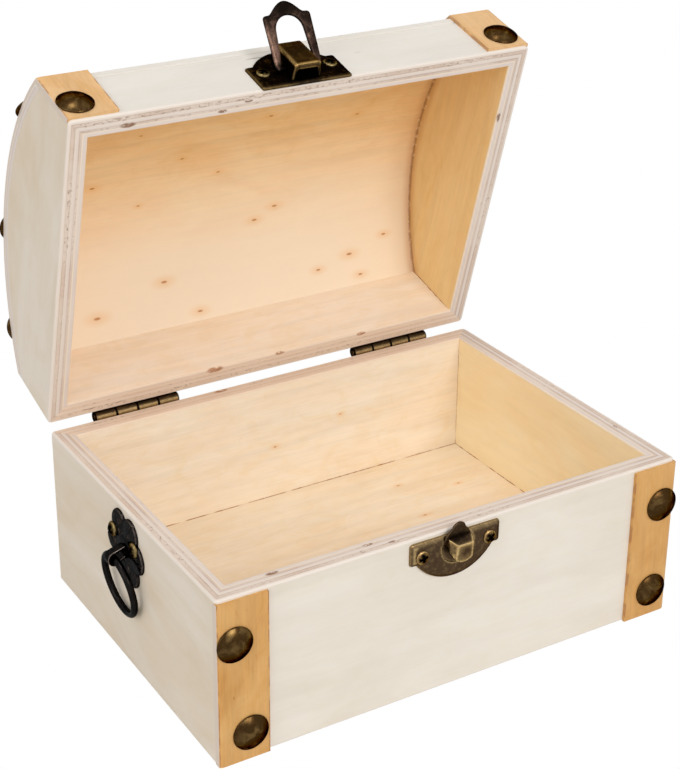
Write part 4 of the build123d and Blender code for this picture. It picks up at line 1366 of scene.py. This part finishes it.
def hump():
    """A folded box with a hollow inside and a thick rounded lip, open at the rim end."""
    mouth, far, lip = HUMP_FOOT_Y, HUMP_FOOT_Y + HUMP_LENGTH, 0.4
    rows = [hump_section(far - HUMP_PLY, 1.2, HUMP_PLY, PAINTED_SHADE_INSIDE),
            hump_section(far - HUMP_SLOPE - HUMP_PLY, HUMP_OUT - HUMP_PLY, HUMP_PLY, PAINTED_SHADE_INSIDE),
            hump_section(mouth + 2.0, HUMP_OUT - HUMP_PLY, HUMP_PLY, PAINTED_SHADE_INSIDE),
            hump_section(mouth + 0.5, HUMP_OUT - 1.9, HUMP_PLY, PAINTED_SHADE_INSIDE),
            # Painted shade inside the mouth: its sides are toned dark.
            hump_section(mouth + 0.12, HUMP_OUT - 1.9, HUMP_PLY, (-0.5, 0.3, 0.5)),
            hump_section(mouth, HUMP_OUT - 1.75, HUMP_PLY - 0.12, (-0.3, 0.3, 0.5)),
            hump_section(mouth, HUMP_OUT - 1.1, HUMP_PLY * 0.6, (-0.3, 0.1, 0.1)),
            hump_section(mouth, HUMP_OUT - lip, lip, (0.1, 0.3, 0.25))]
    # Painted highlight: the rounded lip is toned bright.
    for turn_by, tone in ((30, 0.7), (60, 1.0), (90, 0.7)):
        back, rise = lip * (1 - math.sin(math.radians(turn_by))), math.cos(math.radians(turn_by))
        rows.append(hump_section(mouth + lip * (1 - rise), HUMP_OUT - back, back, (0.35, 1.0, tone)))
    # Painted light along the roof and the far end: the sides are toned dark as shade, the corners light as
    # highlight.
    length = far - HUMP_SLOPE - mouth
    for share in (0.08, 0.3, 0.6, 0.85, 0.93):
        rows.append(hump_section(mouth + length * share, HUMP_OUT, 0.0, (-0.5, 0.6, 0.12)))
    for turn_by in (30, 60, 90):
        back, drop = math.sin(math.radians(turn_by)), 1 - math.cos(math.radians(turn_by))
        rows.append(hump_section(far - HUMP_SLOPE + 0.5 * back, HUMP_OUT - 0.8 * drop, 0.0, (-0.5, 0.5, 0.4)))
    rows.append(hump_section(far, 0.9, 0.0, (0, 0, 0)))
    wide = len(rows[0])
    points = [point for row in rows for point in row]
    faces = []
    for row in range(len(rows) - 1):
        a, b = row * wide, (row + 1) * wide
        faces += [(a + k, a + k + 1, b + k + 1, b + k) for k in range(wide - 1)]
    last = len(points) - wide
    faces += [tuple(range(wide)), tuple(range(last, last + wide))]
    return points, faces


print("the hump has", len(hump()[1]), "faces")

# %% Hasp
HASP_EAR, HASP_MOON, HASP_SIDE, HASP_BEVEL = 12.5, 18.8, 0.5, 1.3


def hasp_tone(x, y, depth):
    """A thin light line along the edge, which is wear and painted highlight, brown ears, and painted shade in
    the middle round the hump.
    """
    return 0.3 * band(depth, 0.15, 0.45) - 0.8 * (1 - np.hypot(x / 10, (y - 8) / 12)).clip(0, 1)


hasp_seat = OPEN_LID @ front_seat(LATCH_X, HASP_FOOT)
hasp_face = bevelled(HASP_PLY, HASP_SIDE, HASP_BEVEL)
hasp_plate = press(half_moon(HASP_EAR, HASP_MOON, 1), hasp_face, level(0.0), 0.7, tone=hasp_tone)
lay("hasp_with_hump", [(hasp_seat, *hasp_plate), (hasp_seat, *hump())], HASP_BRONZE_SHADED, "lid", ["hasp_plate"],
    35)

# %% [markdown]
# ## The bail
#
# A loop stamped from thicker sheet and tumbled until its edges are round. Its two legs taper to the pins,
# and a rounded lip at the bottom is for the finger. Bent round wire would have the same thickness all
# round, and this loop hasn't: it is as flat as the sheet and as wide as its outline. So it is pressed
# like the plates, only with both of its faces domed.

# %% The bail's outline
PIVOT_Z, PIVOT_OUT, BAIL_REST = HASP_FOOT + 6.6, 2.2, 135.0
BAR_Y, MOUTH_Y, MOUTH_R = -16.6, -11.3, 4.7
LIP_HALF, LIP_DROP, LIP_STEPS = 5.6, 3.9, 28
LEG = [(6.5, 0.8), (7.3, 0.7), (7.85, 0.1), (8.0, -0.8), (8.15, -12.0)]
MOUTH_CORNER = [(5.6, 0.2), (6.2, 0.75)]


def bail_outline():
    """Down the right leg, round the lip, up the left leg, and back round the mouth. The pivot is on y = 0."""
    right = LEG + arc(7.1, BAR_Y + 1.1, 1.1, 0, -85, 6)
    lip = []
    for k in range(LIP_STEPS + 1):
        x = LIP_HALF - 0.4 * k
        lip.append((x, BAR_Y - LIP_DROP * (0.5 + 0.5 * math.cos(math.pi * x / LIP_HALF)) ** 0.5))
    outer = right + lip + [(-x, y) for x, y in reversed(right)]
    left_corner = [(-x, y) for x, y in reversed(MOUTH_CORNER)]
    mouth = left_corner + arc(0, MOUTH_Y, MOUTH_R, 180, 360, 28) + MOUTH_CORNER
    loop = soften(resample(outer + mouth, 0.4), 3)
    area = sum(a[0] * b[1] - b[0] * a[1] for a, b in zip(loop, loop[1:] + loop[:1]))
    return loop if area > 0 else loop[::-1]


print("the bail's outline has", len(bail_outline()), "points")

# %% Bail
BAIL_EDGE, BAIL_DOME, BAIL_ROUND = 0.12, 0.43, 0.9


def bail_side(sign):
    """One of the loop's two domed faces, where sign is 1 in front and -1 behind."""
    def profile(x, y, depth):
        share = (depth / BAIL_ROUND).clip(0, 1)
        return sign * (BAIL_EDGE + BAIL_DOME * np.sqrt(1 - (1 - share) ** 2))
    return profile


def bail_tone(x, y, depth):
    """Light along the left leg and its left edges, which is painted highlight; black at the lip, and painted
    shade round the pins.
    """
    left_highlight = 0.6 * band(x, -6.6, 1.6) * band(y, -6.5, 7.0) + 0.35 * band(depth, 0.3, 0.35) * (y > -13) * (x < 0)
    return left_highlight - 0.85 * ((-y - 13.5) / 4).clip(0, 1) - 0.6 * ((y + 1.6) / 2).clip(0, 1)


bail_hang = Matrix.Translation((0, -DEPTH / 2 - PIVOT_OUT, PIVOT_Z))
bail_swing = Matrix.Rotation(math.radians(-BAIL_REST), 4, "X")
bail_seat = OPEN_LID @ bail_hang @ bail_swing @ seat((LATCH_X, 0, 0), (1, 0, 0), (0, 0, 1))
bail_loop = press(bail_outline(), bail_side(1), bail_side(-1), 0.6, (0.12, 0.28, 0.5, 0.8), tone=bail_tone)
# Painted shade: the pins are toned dark, where they sit in the hump's sides.
BAIL_PIN, PIN_X, PIN_SHADE = [(0.0, -2.2), (0.7, -2.2), (0.7, 0.0), (0.5, 0.15), (0.0, 0.2)], 6.2, -0.8
pin_points, pin_faces = turn(BAIL_PIN, 16)
pins = []
for side in (-1, 1):
    outwards = Matrix.Rotation(side * math.pi / 2, 4, "Y")
    pin_seat = bail_seat @ Matrix.Translation((side * PIN_X, 0, 0)) @ outwards
    pins.append((pin_seat, [(*point, PIN_SHADE) for point in pin_points], pin_faces))
lay("stamped_bail", [(bail_seat, *bail_loop), *pins], BAIL_COPPER, "bail", ["hasp_bail"], 50)

# %% [markdown]
# ## Ring pulls
#
# A six-petalled rosette with carved veins, a collar folded from strip, and a ring of round wire that
# swings in it. Both ends of the box have one. The petals could be modelled one by one and joined, but a
# sixth of a turn brings each one onto the next. So a point is first turned back into one petal, and one
# formula shapes all six.

# %% The rosette's petals
HANDLE_Z, PETAL_R, PETAL_SPREAD = 41.0, 4.8, 7.4
PETAL_TURN = math.pi / 3
VEIN_FROM, BOSS_R = 4.6, 4.4


def off_petal(phi):
    """How far an angle is from the middle line of its petal."""
    return (phi + PETAL_TURN / 2) % PETAL_TURN - PETAL_TURN / 2


def in_petal(x, y):
    """A point's distance from the rosette's middle, its angle off its petal, and its place on the petal."""
    rho, off = np.hypot(x, y), off_petal(np.arctan2(y, x))
    return rho, off, rho * np.cos(off) - PETAL_SPREAD, rho * np.sin(off)


def rosette_outline():
    """The outer edge of six overlapping round petals."""
    loop = []
    for k in range(180):
        phi = math.tau * k / 180
        off = off_petal(phi)
        reach = PETAL_SPREAD * math.cos(off) + math.sqrt(PETAL_R**2 - (PETAL_SPREAD * math.sin(off)) ** 2)
        loop.append((reach * math.cos(phi), reach * math.sin(phi)))
    return loop


print("a rosette is", round(2 * max(x for x, _ in rosette_outline()), 1), "mm wide")


# %% The rosette's relief
def rosette_face(x, y, depth):
    """Domed petals, each with a middle vein and side veins, and a round boss in the middle."""
    rho, _, u, v = in_petal(x, y)
    petal = (1 - (u**2 + v**2) / PETAL_R**2).clip(0, 1)
    rim = np.sqrt(1 - (1 - (depth / 0.5).clip(0, 1)) ** 2)
    vein = np.exp(-((v / 0.28) ** 2)) * (rho > VEIN_FROM)
    fans = np.abs(np.sin(2.6 * np.abs(v) + 1.2 * u)) ** 3 * petal
    boss = np.sqrt((1 - (rho / BOSS_R) ** 2).clip(0, 1))
    return 0.35 + 0.5 * rim + 0.35 * petal - 0.22 * vein - 0.2 * fans + 0.6 * boss


def rosette_tone(x, y, depth):
    """A thin light line round the petals and light strokes along them, which are wear and painted highlight,
    and painted shade, black, in the valleys between them.
    """
    rho, off, u, v = in_petal(x, y)
    painted_valley_shade = (1 - np.abs(np.abs(off) - PETAL_TURN / 2) / 0.07).clip(0, 1) * (rho > BOSS_R)
    strokes = 0.6 * (np.cos(5.2 * np.abs(v) + 0.8 * u) - 0.2).clip(0, 1) * (rho > VEIN_FROM) * (depth > 0.6)
    return 0.5 * band(depth, 0.3, 0.3) + strokes - 0.9 * painted_valley_shade


rosette = press(rosette_outline(), rosette_face, level(0.0), 0.45, tone=rosette_tone)
print("a rosette has", len(rosette[1]), "faces")

# %% Collar
EYE_OUT, EYE_DROP, EYE_R, EYE_HALF = 4.4, 1.8, 1.5, 1.5
COLLAR_R = 2.4


def wrap(radius):
    """The path of the collar's outer or inner face, from foot to foot. Points are (y, z) on the bench."""
    foot = radius / COLLAR_R
    path = [(1.9 * foot - 0.2, 1.0)]
    path += [(-EYE_DROP + radius * math.cos(math.radians(a)), EYE_OUT + radius * math.sin(math.radians(a)))
             for a in range(20, 199, 15)]
    return along(path + [(-2.2 * foot, 1.0)], 30)


def collar():
    """A strip that leaves the rosette, wraps the wire and comes back."""
    stations = [(EYE_HALF, outer, inner) for outer, inner in zip(wrap(COLLAR_R), wrap(EYE_R))]
    # The collar's rounded edges are toned light: wear and painted highlight.
    return bend(stations, radius=0.25, wear_and_sheen=0.9)


print("the collar's path has", len(wrap(COLLAR_R)), "points")

# %% Ring pulls
RING_R, WIRE_R = 10.75, 1.1
RING_SPAN = RING_R - WIRE_R
ROSETTE_SCREW_Y, ROSETTE_SCREW_UP, ROSETTE_PLY = 7.15, 3.2, 1.0
ROSETTE_SCREW = (2.4, 1.2)  # radius and height


def ring_seat(place):
    """Hangs a ring in its collar. It rests on the eye's floor, and its foot leans in to the rosette."""
    sag = RING_SPAN - math.sqrt(RING_SPAN**2 - EYE_HALF**2)
    drop = EYE_R - WIRE_R - 0.05 - sag
    lean = math.atan2(EYE_OUT - WIRE_R - 0.3, 2 * RING_SPAN + drop)
    eye = place @ Matrix.Translation((0, -EYE_DROP, EYE_OUT))
    return eye @ Matrix.Rotation(lean, 4, "X") @ Matrix.Translation((0, -RING_SPAN - drop, 0))


def handle(side, word):
    """A rosette with its collar, its screws and its ring, on the left end where side is -1."""
    place = end_seat(side, 0, HANDLE_Z)
    lay(f"{word}_rosette", [(place, *rosette)], RING_BLACK, "box", [f"{word}_handle_rosette"],
        50)
    lay(f"{word}_collar", [(place, *collar())], RING_BLACK, "box", [f"{word}_handle_eye"],
        40)
    screw_z = HANDLE_Z + ROSETTE_SCREW_UP
    seats = [(end_seat(side, s * ROSETTE_SCREW_Y, screw_z, ROSETTE_PLY), 20 + 50 * s) for s in (-1, 1)]
    lay(f"{word}_rosette_screws", screws(seats, *ROSETTE_SCREW), DULL_SCREW, "box", [f"{word}_handle_screws"],
        30)
    lay(f"{word}_pull_ring", [(ring_seat(place), *torus(RING_SPAN, WIRE_R))], RING_BLACK, f"{word}_ring",
        [f"{word}_ring"], 60)


handle(-1, "left")
handle(1, "right")

# %% [markdown]
# ## Butt hinges
#
# Each leaf is a small plate, and its knuckles are rolled round the pin. One long rod with dark lines on
# it would pass from far away. But the gaps between knuckles and the rolled edges are what the eye sees
# from the front, and half of the knuckles swing with the lid, so the tubes are real ones and have ends
# with a small chamfer.

# %% Knuckles
HINGE_X, HINGE_LONG, LEAF_PLY, LEAF_HIGH = 49.0, 30.0, 0.9, 9.5
KNUCKLE_R, KNUCKLE_CHAMFER, PIN_R, KNUCKLES = 1.9, 0.15, 1.0, 4
PITCH = HINGE_LONG / KNUCKLES


def tube(length, swing):
    """A rolled knuckle along x, with black ends, which are painted shade in the gaps. Its front is toned
    light, a painted highlight, and its top dark, painted shade, both turned by swing degrees so that they
    keep facing the same way on the box.
    """
    half, c = length / 2, KNUCKLE_CHAMFER
    profile = [(PIN_R + 0.05, -half), (KNUCKLE_R - c, -half), (KNUCKLE_R, c - half),
               (KNUCKLE_R, 3 * c - half), (KNUCKLE_R, half - 3 * c),
               (KNUCKLE_R, half - c), (KNUCKLE_R - c, half), (PIN_R + 0.05, half)]
    points, faces = turn(profile, 24, axis="x")
    toned = []
    for x, y, z in points:
        up = (math.degrees(math.atan2(z, -y)) + swing + 180) % 360 - 180
        # Painted light: lighter where the knuckle faces front, darker where it faces up, and black at the
        # ends as shade in the gaps.
        tone = 0.85 * max(0.0, 1 - abs(up - 5) / 32) - 0.55 * max(0.0, 1 - abs(up - 75) / 40)
        toned.append((x, y, z, -1.0 if abs(x) > half - 2 * c else tone))
    return toned, faces


print("a hinge has", KNUCKLES, "knuckles, one every", PITCH, "mm")

# %% Leaves
LEAF_CORNER, FINGER_GAP, TUBE_GAP = 0.8, 0.08, 0.15
LEAF_REACH, LEAF_CLEAR = 0.4, KNUCKLE_R + 0.3  # where a leaf ends, at its own knuckles and at the other's


def leaf_outline(own):
    """A leaf flat on the bench, which reaches the pin only at its own knuckles. own is 0 or 1."""
    half, top = HINGE_LONG / 2, LEAF_HIGH - LEAF_CORNER
    loop = arc(half - LEAF_CORNER, top, LEAF_CORNER, 0, 90, 4)
    loop += arc(LEAF_CORNER - half, top, LEAF_CORNER, 90, 180, 4)
    for k in range(KNUCKLES):
        reach = LEAF_REACH if (k + own) % 2 else LEAF_CLEAR
        loop += [(k * PITCH - half + FINGER_GAP, reach), ((k + 1) * PITCH - half - FINGER_GAP, reach)]
    return resample(loop, 1.0)


def leaf(x, up, own):
    """One leaf with its knuckles, shut, in place on the box. up is 1 on the lid and -1 on the box."""
    flat = press(leaf_outline(own), rounded(LEAF_PLY, 0.55, 0.35), level(0.0), 1.6, (0.12, 0.35))
    place = seat((x, DEPTH / 2, PIN_Z), (-1, 0, 0), (0, 0, 1))
    shells = [(place @ Matrix.Diagonal((1, up, 1, 1)), *flat)]
    for k in range(KNUCKLES):
        if (k + own) % 2:
            middle = Matrix.Translation((x + HINGE_LONG / 2 - (k + 0.5) * PITCH, PIN_Y, PIN_Z))
            # For the lid's knuckles swing is the lid's opening, so their painted light keeps facing the same
            # way on the box.
            shells.append((middle, *tube(PITCH - TUBE_GAP, 0 if own else LID_OPEN)))
    return shells


print("a leaf's outline has", len(leaf_outline(0)), "points")

# %% Hinges
SHUT = Matrix.Identity(4)


def hinge(x, word):
    """Both leaves of one hinge, and its pin."""
    for part, up, own, swing in (("box", -1, 1, SHUT), ("lid", 1, 0, OPEN_LID)):
        shells = [(swing @ matrix, points, faces) for matrix, points, faces in leaf(x, up, own)]
        lay(f"{word}_{part}_leaf", shells, HINGE_BRASS, part, [f"{word}_hinge_{part}_leaf"],
            40)
    half = HINGE_LONG / 2
    profile = [(0.0, -half), (PIN_R - 0.2, -half), (PIN_R, 0.25 - half),
               (PIN_R, half - 0.25), (PIN_R - 0.2, half), (0.0, half)]
    pin = turn(profile, 20, axis="x")
    lay(f"{word}_pin", [(Matrix.Translation((x, PIN_Y, PIN_Z)), *pin)], HINGE_BRASS, "box",
        [f"{word}_hinge_pin"])


hinge(-HINGE_X, "left")
hinge(HINGE_X, "right")

# %% Hinge screws
LEAF_SCREW_X = 9.0
LEAF_SCREW = (1.7, 0.6)  # radius and height

for part, up, swing in (("box", -1, SHUT), ("lid", 1, OPEN_LID)):
    screw_z = PIN_Z + up * (KNUCKLE_R + LEAF_HIGH) / 2
    places = []
    for hinge_x, to_side in ((-HINGE_X, -1), (-HINGE_X, 1), (HINGE_X, -1), (HINGE_X, 1)):
        spot = (hinge_x + to_side * LEAF_SCREW_X, DEPTH / 2 + LEAF_PLY, screw_z)
        place = seat(spot, (-1, 0, 0), (0, 0, 1))
        places.append((swing @ place, 25 * len(places)))
    lay(f"{part}_leaf_screws", screws(places, *LEAF_SCREW), SCREW_BRASS, part, [f"hinge_{part}_screws"],
        30)

# %% [markdown]
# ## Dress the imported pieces
#
# Boards and straps are already right as they were packed, with their real curves and thicknesses. Making
# them again would only bring in mistakes, so they keep their meshes and just take a finish.

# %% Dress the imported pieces
for name, finish in dressed.items():
    for material_slot in nodes[name].material_slots:
        material_slot.material = finish
print("dressed", len(dressed), "packed pieces")

# %% [markdown]
# ## Floor, light and camera
#
# The floor is plain and pale, and the camera sees it and the surroundings as white. More light would make
# them white too, but it would bleach the whitewash with them. So the white is shown only to rays that
# come from the camera, from gloss or through glass, and all other light finds a plain floor and a soft
# sky.


# %% Show a surface as white
def shown_white(tree, shader, output, kind):
    """Lets camera, glossy and transmission rays see plain white, and leaves all other light alone."""
    light_path = tree.nodes.new("ShaderNodeLightPath")
    white = tree.nodes.new(kind)
    white.inputs["Color"].default_value = (1, 1, 1, 1)
    either = tree.nodes.new("ShaderNodeMath")
    either.operation = "MAXIMUM"
    tree.links.new(light_path.outputs["Is Camera Ray"], either.inputs[0])
    tree.links.new(light_path.outputs["Is Glossy Ray"], either.inputs[1])
    any_ray = tree.nodes.new("ShaderNodeMath")
    any_ray.operation = "MAXIMUM"
    tree.links.new(either.outputs[0], any_ray.inputs[0])
    tree.links.new(light_path.outputs["Is Transmission Ray"], any_ray.inputs[1])
    blend = tree.nodes.new("ShaderNodeMixShader")
    tree.links.new(any_ray.outputs[0], blend.inputs[0])
    tree.links.new(shader.outputs[0], blend.inputs[1])
    tree.links.new(white.outputs[0], blend.inputs[2])
    tree.links.new(blend.outputs[0], tree.nodes[output].inputs["Surface"])


# %% Floor
FLOOR_REACH, FLOOR_DROP = 6, 0.0002  # metres
PAPER = (0.8, 0.8, 0.8)

corners = [(-FLOOR_REACH, -FLOOR_REACH, 0), (FLOOR_REACH, -FLOOR_REACH, 0),
           (FLOOR_REACH, FLOOR_REACH, 0), (-FLOOR_REACH, FLOOR_REACH, 0)]
floor_mesh = bpy.data.meshes.new("floor")
floor_mesh.from_pydata(corners, [], [(0, 1, 2, 3)])
floor = bpy.data.objects.new("floor", floor_mesh)
floor.location.z = low[2] - FLOOR_DROP
scene.collection.objects.link(floor)
paper = Tree("floor paper", roughness=0.9)
floor_mesh.materials.append(paper.finish(PAPER))
shown_white(paper, paper.shader, "Material Output", "ShaderNodeEmission")
print("the floor lies at", round(floor.location.z, 4), "metres")

# %% World
SKY, SKY_STRENGTH = (1.0, 0.98, 0.96, 1.0), 0.48

world = bpy.data.worlds.new("studio")
world.use_nodes = True
scene.world = world
sky = world.node_tree.nodes["Background"]
sky.inputs["Color"].default_value = SKY
sky.inputs["Strength"].default_value = SKY_STRENGTH
shown_white(world.node_tree, sky, "World Output", "ShaderNodeBackground")
print("sky strength:", SKY_STRENGTH)

# %% [markdown]
# ### Lamps
#
# A single hard lamp would throw one black shadow. Three square lamps stand around the box instead: a
# window in front, a wider and weaker one at the left, and a small one overhead that puts a glint on the
# nails. They are only as strong as it takes for a colour to render about as it is written.


# %% Lamps
def lamp(name, place, aim, watts, size):
    """A square area lamp at place, in metres, that faces aim."""
    data = bpy.data.lights.new(name, "AREA")
    data.energy, data.size = watts, size
    light = bpy.data.objects.new(name, data)
    light.location = place
    light.rotation_euler = (Vector(aim) - Vector(place)).to_track_quat("-Z", "Y").to_euler()
    scene.collection.objects.link(light)


lamp("window", place=(0.15, -1.3, 0.9), aim=(0, 0, 0.07), watts=9.4, size=0.65)
lamp("left window", place=(-1.3, -0.4, 0.8), aim=(0, 0, 0.07), watts=5.5, size=0.9)
lamp("overhead", place=(-0.2, -0.1, 1.5), aim=(0, 0.05, 0.1), watts=3.0, size=0.35)

# %% [markdown]
# ### Camera
#
# A long lens keeps a small box from looking stretched. It stands at the front left, a little above the
# box. The lens is shifted a little, which brings the open lid into the middle of the frame without
# turning the camera. The colours are shown as they are, with no film look.

# %% Camera
CAMERA_PLACE, CAMERA_TURN = (-0.2579, -0.4090, 0.3117), (66.669, 0.043, -30.107)

camera_data = bpy.data.cameras.new("camera")
camera_data.sensor_fit = "AUTO"
camera_data.sensor_width = 36.0
camera_data.lens = 81.61
camera_data.shift_x = 0.052
camera_data.shift_y = -0.110
camera_data.clip_start = 0.01
camera = bpy.data.objects.new("camera", camera_data)
camera.location = CAMERA_PLACE
camera.rotation_euler = tuple(math.radians(degrees) for degrees in CAMERA_TURN)
scene.collection.objects.link(camera)
scene.camera = camera
scene.view_settings.view_transform = "Standard"
print("camera at", [round(v, 3) for v in camera.location])
